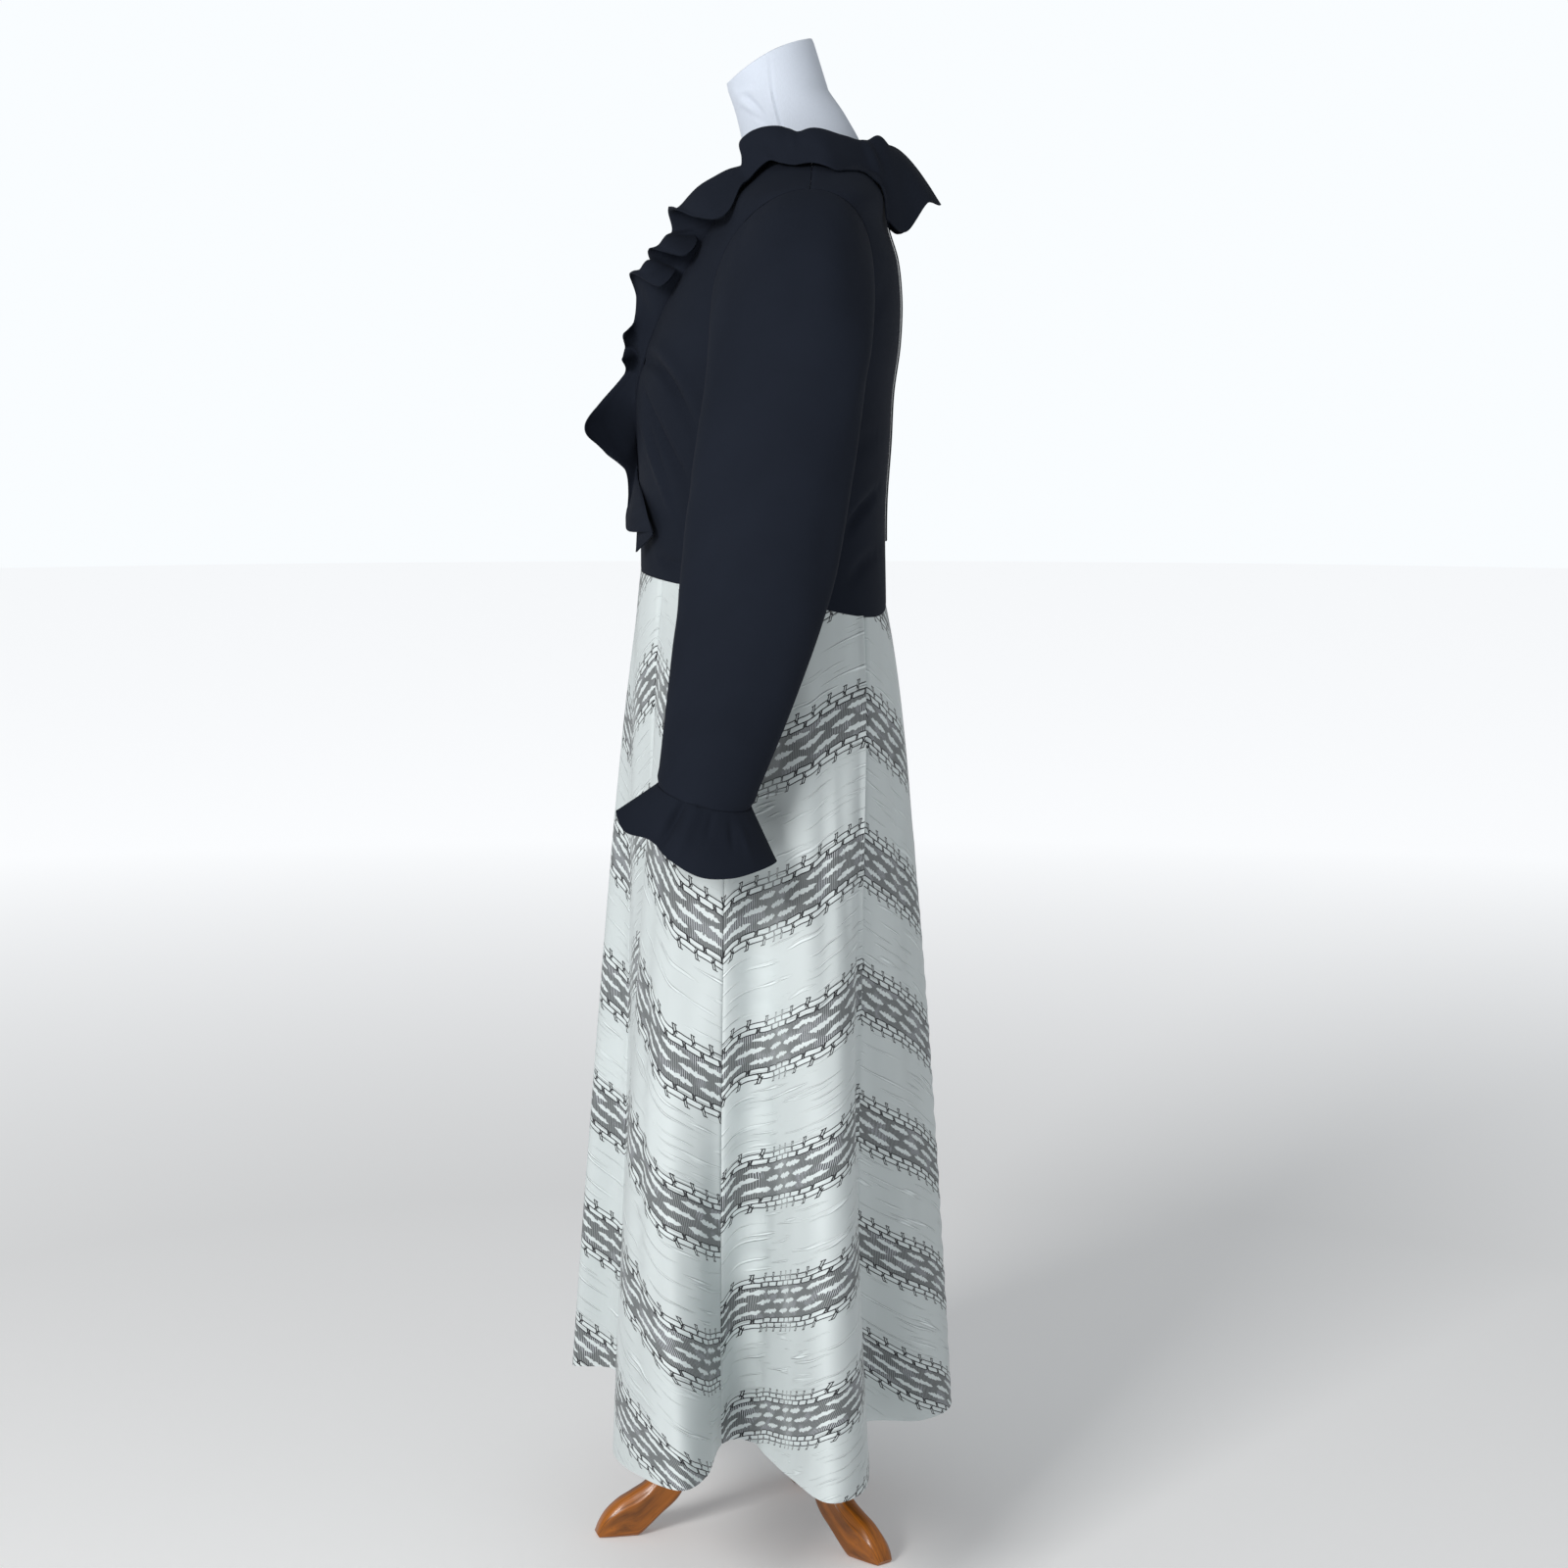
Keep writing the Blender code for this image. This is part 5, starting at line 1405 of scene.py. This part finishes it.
def brick_masks(tree, along, down):
    """Outlines and insides of the bricks: levels of the distance from a flat core."""
    lines = []
    bricks = []
    for centre, offset in BRICK_ROWS:
        side = calc(tree, "ABSOLUTE", cell(tree, along, BRICK_LENGTH, offset))
        rise = calc(tree, "ABSOLUTE", minus(tree, down, centre))
        far = larger(tree, minus(tree, side, BRICK_CORE[0]), 0.0)
        high = larger(tree, minus(tree, rise, BRICK_CORE[1]), 0.0)
        level = calc(tree, "SQRT", plus(tree, times(tree, far, far), times(tree, high, high)))
        lines.append(between(tree, level, BRICK_RADIUS, OUTLINE_RADIUS))
        bricks.append(calc(tree, "LESS_THAN", level, BRICK_RADIUS))
    return lines, bricks


def tick_masks(tree, along, down):
    """Double leaning ticks at the joints of the brick rows, and the feet of the outer ones."""
    ticks = []
    for offset, low, high in TICKS:
        lean = times(tree, minus(tree, down, (low + high) / 2), TICK_LEAN)
        joint = calc(tree, "ABSOLUTE", plus(tree, cell(tree, along, BRICK_LENGTH, offset), lean))
        ticks.append(times(tree, between(tree, joint, *TICK_SIDES), between(tree, down, low, high)))
    for offset, low, high, back in TICK_FEET:
        joint = plus(tree, cell(tree, along, BRICK_LENGTH, offset), back)
        ticks.append(times(tree, between(tree, joint, *FOOT_ENDS), between(tree, down, low, high)))
    return ticks


def ragged_edge(tree, along, number, seed):
    """Half height of a dash, changing from yarn to yarn."""
    ragged = add(tree, "ShaderNodeTexWhiteNoise", noise_dimensions="2D")
    pair = add(tree, "ShaderNodeCombineXYZ")
    step = calc(tree, "FLOOR", over(tree, along, YARN_STEP))
    feed(tree, pair, {"X": plus(tree, step, seed), "Y": number})
    feed(tree, ragged, {"Vector": pair.outputs[0]})
    return minus(tree, DASH_HALF_HEIGHT, times(tree, ragged.outputs["Value"], DASH_RAGGED))


def dash_masks(tree, along, down, number):
    """Ragged dashes: two uneven edges drawn together at the ends by the fourth power of the way there."""
    dashes = []
    for centre, offset, seed in DASH_ROWS:
        place = cell(tree, along, DASH_LENGTH, offset)
        side = over(tree, calc(tree, "ABSOLUTE", place), DASH_HALF_LENGTH)
        ends = minus(tree, 1.0, calc(tree, "POWER", side, 4.0))
        rise = plus(tree, minus(tree, down, centre), times(tree, place, DASH_SLOPE))
        upper = times(tree, ragged_edge(tree, along, number, seed), ends)
        lower = times(tree, times(tree, ragged_edge(tree, along, number, seed + 41.0), ends), -1.0)
        dashes.append(between(tree, rise, lower, upper))
    return dashes


def hatch_colour(tree, along, bands, close, colours):
    """Finely hatched grey of a band: pale and dark yarns, stronger in patches, paler at the gore's middle."""
    stripe = calc(tree, "GREATER_THAN", calc(tree, "FRACT", over(tree, along, YARN_STEP)), 0.5)
    patch = ramp(tree, noise(tree, stretched(tree, bands, (38.0, 7.0, 1.0)), 1.0, 1.0), 0.52, 0.60)
    contrast = plus(tree, 0.32, times(tree, patch, 0.55))
    grey = shade(colours.band_grey)
    pale = blend_colour(tree, contrast, grey, (0.50, 0.53, 0.56, 1.0))
    dark = blend_colour(tree, contrast, grey, shade(colours.band_black))
    hatch = blend_colour(tree, stripe, dark, pale)
    return blend_colour(tree, times(tree, close, 0.35), hatch, (0.40, 0.43, 0.43, 1.0))


def ground_colour(tree, chart, slub_and_highlight, colours):
    """White ground with a slow change of tone at random, and a painted highlight on its raised slubs."""
    slow = noise(tree, stretched(tree, chart, (14.0, 3.0, 1.0)), 1.0, 2.0)
    white = colours.jacquard
    ground = blend_colour(tree, ramp(tree, slow, 0.35, 0.65), shade(white, 0.90), shade(white))
    # Painted highlight: the raised slubs are coloured paler than the ground
    return blend_colour(tree, slub_and_highlight, ground, shade(white, 1.35))


def jacquard_look(colours, sizes):
    """White slubbed ground with grey bands: two rows of outlined bricks at each edge, with double ticks
    between them, and three rows of ragged white dashes on a finely hatched grey between."""
    look, tree, shader = new_look("white_jacquard_cloth")
    chart = chart_of(tree, "cloth")
    bands = chart_of(tree, "bands")
    close = axis_of(tree, chart_of(tree, "middle"), "X")
    along, down, number = band_axes(tree, chart, bands, sizes)
    lines, bricks = brick_masks(tree, along, down)
    black = any_of(tree, lines + tick_masks(tree, along, down))
    white = any_of(tree, bricks)
    dashes = any_of(tree, dash_masks(tree, along, down, number))
    zone = times(tree, between(tree, down, *HATCH_ZONE), minus(tree, 1.0, white))
    # Slub mask: raised strokes in the bump and the roughness, and a painted highlight in the colour
    slub_and_highlight = ramp(tree, noise(tree, stretched(tree, bands, (15.0, 30.0, 1.0)), 1.0, 1.0, 0.4, 0.2), 0.60, 0.74)
    colour = blend_colour(tree, zone, ground_colour(tree, chart, slub_and_highlight, colours),
                          hatch_colour(tree, along, bands, close, colours))
    colour = blend_colour(tree, larger(tree, times(tree, dashes, zone), white), colour,
                          shade(colours.jacquard, 1.07))
    faded = minus(tree, 1.0, times(tree, close, 0.45))
    weave = noise(tree, stretched(tree, chart, (900.0, 1500.0, 1.0)), 1.0, 2.0, 0.6)
    raised_yarn = plus(tree, times(tree, dashes, 0.5), times(tree, white, 0.4))
    normal = bump(tree, weave, 0.35, 0.00015)
    normal = bump(tree, raised_yarn, 0.5, 0.0004, normal)
    normal = bump(tree, times(tree, slub_and_highlight, minus(tree, 1.0, zone)), 1.0, 0.0017, normal)
    feed(tree, shader, {
        "Base Color": blend_colour(tree, times(tree, black, faded), colour, shade(colours.band_black)),
        "Roughness": ramp(tree, slub_and_highlight, 0.0, 1.0, 0.72, 0.58),
        "Specular IOR Level": 0.35,
        "Sheen Weight": 0.12,
        "Sheen Roughness": 0.5,
        "Normal": normal,
    })
    return look


def jersey_look(colours):
    """Fine cotton jersey: thin upright ribs on the form, a little soft."""
    look, tree, shader = new_look("white_jersey_cover")
    place = add(tree, "ShaderNodeTexCoord").outputs["Object"]
    rib = noise(tree, stretched(tree, place, (1400.0, 1400.0, 260.0)), 1.0, 2.0, 0.55)
    slow = noise(tree, place, 18.0, 2.0)
    tone = ramp(tree, plus(tree, times(tree, rib, 0.6), times(tree, slow, 0.4)), 0.35, 0.62)
    feed(tree, shader, {
        "Base Color": blend_colour(tree, tone, shade(colours.jersey, 0.93), shade(colours.jersey)),
        "Roughness": ramp(tree, rib, 0.3, 0.7, 0.72, 0.85),
        "Specular IOR Level": 0.3,
        "Sheen Weight": 0.15,
        "Normal": bump(tree, rib, 0.35, 0.0002),
    })
    return look


def wood_look(name, colours, on_leg):
    """Varnished wood: long dark grain, pores and a clear coat; the grain runs along the piece."""
    look, tree, shader = new_look(name)
    chart = chart_of(tree, "grain") if on_leg else add(tree, "ShaderNodeTexCoord").outputs["Object"]
    place = stretched(tree, chart, (260.0, 9.0, 1.0) if on_leg else (220.0, 220.0, 8.0))
    pores = stretched(tree, chart, (900.0, 60.0, 1.0) if on_leg else (900.0, 900.0, 60.0))
    grain = noise(tree, place, 1.0, 5.0, 0.62, 0.5)
    fine = noise(tree, pores, 1.0, 2.0)
    dark = shade(colours.wood, 0.42)
    colour = blend_colour(tree, ramp(tree, grain, 0.34, 0.66), dark, shade(colours.wood, 1.45))
    feed(tree, shader, {
        "Base Color": blend_colour(tree, ramp(tree, fine, 0.60, 0.72, 0.0, 0.5), colour, dark),
        "Roughness": ramp(tree, grain, 0.3, 0.7, 0.42, 0.30),
        "Coat Weight": 0.16,
        "Coat Roughness": 0.12,
        "Normal": bump(tree, grain, 0.15, 0.0003),
    })
    return look


# Pieces


def kept_look(key, maker, *values):
    """A look made once and used again by its name."""
    found = bpy.data.materials.get(key)
    return found if found is not None else maker(*values)


def crepe(context):
    """The crepe of the bodice, the sleeves and the flounces."""
    return kept_look("black_crepe_cloth", crepe_look, context.scene.dress_colours)


def dress(piece, look, node):
    """Give a piece its look and its place on the body, and hide the solid of the node that it stands for."""
    piece.data.materials.clear()
    piece.data.materials.append(look)
    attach(piece, "root")
    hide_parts(node)


def crepe_pair(context, names, walls, closed, chart):
    """Left piece of crepe and its mirror image on the right; names are the piece's and its node's."""
    outer, inner = walls
    for word, side in SIDES:
        piece = wall_piece(names[0] + word, outer * side, inner * side, closed, {"cloth": chart})
        dress(piece, crepe(context), names[1] + word)


class DRESS_OT_fronts(bpy.types.Operator):
    """Make the two fronts of the V necked bodice"""
    bl_idname = "dress.fronts"
    bl_label = "Bodice fronts"

    def execute(self, context):
        panel = front_panel()
        crepe_pair(context, ("front_panel_", "bodice_front_"),
                   bodice_walls(panel, FRONT_CREASES, context.scene.dress_sizes), False, plain_map(panel))
        return {"FINISHED"}


class DRESS_OT_backs(bpy.types.Operator):
    """Make the two backs of the bodice and the lap over the zip"""
    bl_idname = "dress.backs"
    bl_label = "Bodice backs and lap"

    def execute(self, context):
        sizes = context.scene.dress_sizes
        panel = back_panel()
        crepe_pair(context, ("back_panel_", "bodice_back_"), bodice_walls(panel, BACK_CREASES, sizes), False,
                   plain_map(panel))
        lap = lap_piece(sizes)
        dress(lap, crepe(context), "back_placket")
        return {"FINISHED"}


class DRESS_OT_sleeves(bpy.types.Operator):
    """Make the long set in sleeves"""
    bl_idname = "dress.sleeves"
    bl_label = "Sleeves"

    def execute(self, context):
        rings = sleeve_face()
        crepe_pair(context, ("long_sleeve_", "sleeve_"), sleeve_walls(rings, context.scene.dress_sizes), True,
                   plain_map(rings, True))
        return {"FINISHED"}


class DRESS_OT_cuffs(bpy.types.Operator):
    """Make the flounced cuffs"""
    bl_idname = "dress.cuffs"
    bl_label = "Cuff flounces"

    def execute(self, context):
        face = cuff_face()
        crepe_pair(context, ("wrist_flounce_", "cuff_flounce_"),
                   flounce_walls(face, True, 0.0, context.scene.dress_sizes), True, plain_map(face, True))
        return {"FINISHED"}


class DRESS_OT_neck(bpy.types.Operator):
    """Make the flounce round the neck and down the V"""
    bl_idname = "dress.neck"
    bl_label = "Neck flounces"

    def execute(self, context):
        face = neck_flounce_face()
        crepe_pair(context, ("collar_flounce_", "neck_flounce_"),
                   flounce_walls(face, False, 0.5, context.scene.dress_sizes), False, plain_map(face))
        return {"FINISHED"}


class DRESS_OT_skirt(bpy.types.Operator):
    """Make the eight gores of the skirt"""
    bl_idname = "dress.skirt"
    bl_label = "Skirt gores"

    def execute(self, context):
        sizes = context.scene.dress_sizes
        look = kept_look("white_jacquard_cloth", jacquard_look, context.scene.dress_colours, sizes)
        for node, first, last, low_last, kind in GORES:
            piece = gore_piece(node, first, last, low_last, kind, sizes)
            dress(piece, look, node)
        return {"FINISHED"}


class DRESS_OT_form(bpy.types.Operator):
    """Make the dress form's cover"""
    bl_idname = "dress.form"
    bl_label = "Dress form"

    def execute(self, context):
        look = kept_look("white_jersey_cover", jersey_look, context.scene.dress_colours)
        dress(form_piece(), look, "form_body")
        return {"FINISHED"}


class DRESS_OT_stand(bpy.types.Operator):
    """Make the wooden pole, hub and legs"""
    bl_idname = "dress.stand"
    bl_label = "Wooden stand"

    def execute(self, context):
        colours = context.scene.dress_colours
        turned_wood = kept_look("brown_wood_turned", wood_look, "brown_wood_turned", colours, False)
        leg_wood = kept_look("brown_wood_leg", wood_look, "brown_wood_leg", colours, True)
        low = HUB_HIGH_Z + SEAM_GAP
        high = FORM_BOTTOM_Z - SEAM_GAP
        pole = turned_piece("turned_pole", [(POLE_PROFILE_END, low), (POLE_RADIUS, low + 0.0008),
                                            (POLE_RADIUS, high - 0.0008), (POLE_PROFILE_END, high)], 48)
        dress(pole, turned_wood, "form_pole")
        profile = [(radius, HUB_LOW_Z + rise) for radius, rise in HUB_LOW_PROFILE]
        profile += [(radius, HUB_HIGH_Z - fall) for radius, fall in HUB_HIGH_PROFILE]
        dress(turned_piece("turned_hub", profile, 72), turned_wood, "form_hub")
        for node, degrees in LEG_ANGLES:
            dress(leg_piece(node.replace("leg_", "foot_"), degrees), leg_wood, node)
        return {"FINISHED"}


# Stage


def area_light(name, place, size, power, colour):
    """Soft square light that faces the middle of the dress."""
    data = bpy.data.lights.new(name, "AREA")
    data.shape = "SQUARE"
    data.size = size
    data.energy = power
    data.color = colour
    lamp = placed(name, data)
    x, y, z = place
    lamp.location = place
    tilt = math.atan2(math.hypot(x, y), z - LIGHT_TARGET_Z)
    lamp.rotation_euler = (tilt, 0.0, math.atan2(y, x) + math.pi / 2)


def floor_look():
    """Pale floor with a painted glow: faint near the dress, and far off up to the white of the backdrop."""
    look, tree, shader = new_look("pale_floor")
    away = add(tree, "ShaderNodeVectorMath", operation="LENGTH")
    feed(tree, away, {0: add(tree, "ShaderNodeTexCoord").outputs["Object"]})
    feed(tree, shader, {
        "Base Color": (0.86, 0.86, 0.86, 1.0),
        "Roughness": 0.9,
        "Specular IOR Level": 0.1,
        # Painted glow: the floor gives off light, more the further it is from the middle
        "Emission Color": (0.97, 0.98, 1.0, 1.0),
        "Emission Strength": ramp(tree, away.outputs["Value"], 1.5, 5.0, 0.15, 0.62),
    })
    return look


class DRESS_OT_stage(bpy.types.Operator):
    """Set the pale floor, the soft light and the camera"""
    bl_idname = "dress.stage"
    bl_label = "Studio"

    def execute(self, context):
        scene = context.scene
        turn = full_turn(96)
        points = np.stack([FLOOR_RADIUS * np.cos(turn), FLOOR_RADIUS * np.sin(turn),
                           np.full(len(turn), FLOOR_Z)], axis=-1)
        mesh = bpy.data.meshes.new("studio_floor")
        mesh.from_pydata(points.tolist(), [], [tuple(range(len(turn)))])
        mesh.materials.append(floor_look())
        placed("studio_floor", mesh)

        world = scene.world or bpy.data.worlds.new("studio_world")
        scene.world = world
        world.use_nodes = True
        tree = world.node_tree
        # The backdrop itself is white, and lights the dress less than it shows
        seen = add(tree, "ShaderNodeLightPath").outputs["Is Camera Ray"]
        feed(tree, tree.nodes["Background"], {"Color": (0.95, 0.98, 1.0, 1.0),
                                              "Strength": ramp(tree, seen, 0.0, 1.0, 0.38, 1.0)})
        scene.view_settings.view_transform = "Standard"

        area_light("key_light", *KEY_LIGHT)
        area_light("fill_light", *FILL_LIGHT)

        data = bpy.data.cameras.new("camera")
        data.sensor_width = 36.0
        data.lens = CAMERA_LENS
        data.clip_end = 60.0
        camera = placed("camera", data)
        camera.location = CAMERA_PLACE
        camera.rotation_euler = (math.radians(CAMERA_TILT), 0.0, math.radians(90.0))
        scene.camera = camera
        return {"FINISHED"}


class DRESS_PT_panel(bpy.types.Panel):
    """Sizes, colours and pieces of the dress"""
    bl_idname = "DRESS_PT_panel"
    bl_label = "Maxi dress"
    bl_space_type = "VIEW_3D"
    bl_region_type = "UI"
    bl_category = "Dress"

    def draw(self, context):
        layout = self.layout
        for group in (context.scene.dress_sizes, context.scene.dress_colours):
            for key in group.bl_rna.properties.keys():
                if key not in ("rna_type", "name"):
                    layout.prop(group, key)
        for operator in OPERATORS:
            layout.operator(operator.bl_idname)


OPERATORS = (DRESS_OT_stage, DRESS_OT_fronts, DRESS_OT_backs, DRESS_OT_sleeves, DRESS_OT_cuffs, DRESS_OT_neck,
             DRESS_OT_skirt, DRESS_OT_form, DRESS_OT_stand)
CLASSES = (DressSizes, DressColours) + OPERATORS + (DRESS_PT_panel,)


def register():
    for kind in CLASSES:
        bpy.utils.register_class(kind)
    bpy.types.Scene.dress_sizes = bpy.props.PointerProperty(type=DressSizes)
    bpy.types.Scene.dress_colours = bpy.props.PointerProperty(type=DressColours)


def unregister():
    del bpy.types.Scene.dress_colours
    del bpy.types.Scene.dress_sizes
    for kind in reversed(CLASSES):
        bpy.utils.unregister_class(kind)


def main():
    """Make every piece in order."""
    register()
    bpy.ops.dress.stage()
    bpy.ops.dress.fronts()
    bpy.ops.dress.backs()
    bpy.ops.dress.sleeves()
    bpy.ops.dress.cuffs()
    bpy.ops.dress.neck()
    bpy.ops.dress.skirt()
    bpy.ops.dress.form()
    bpy.ops.dress.stand()


if __name__ == "__main__":
    main()
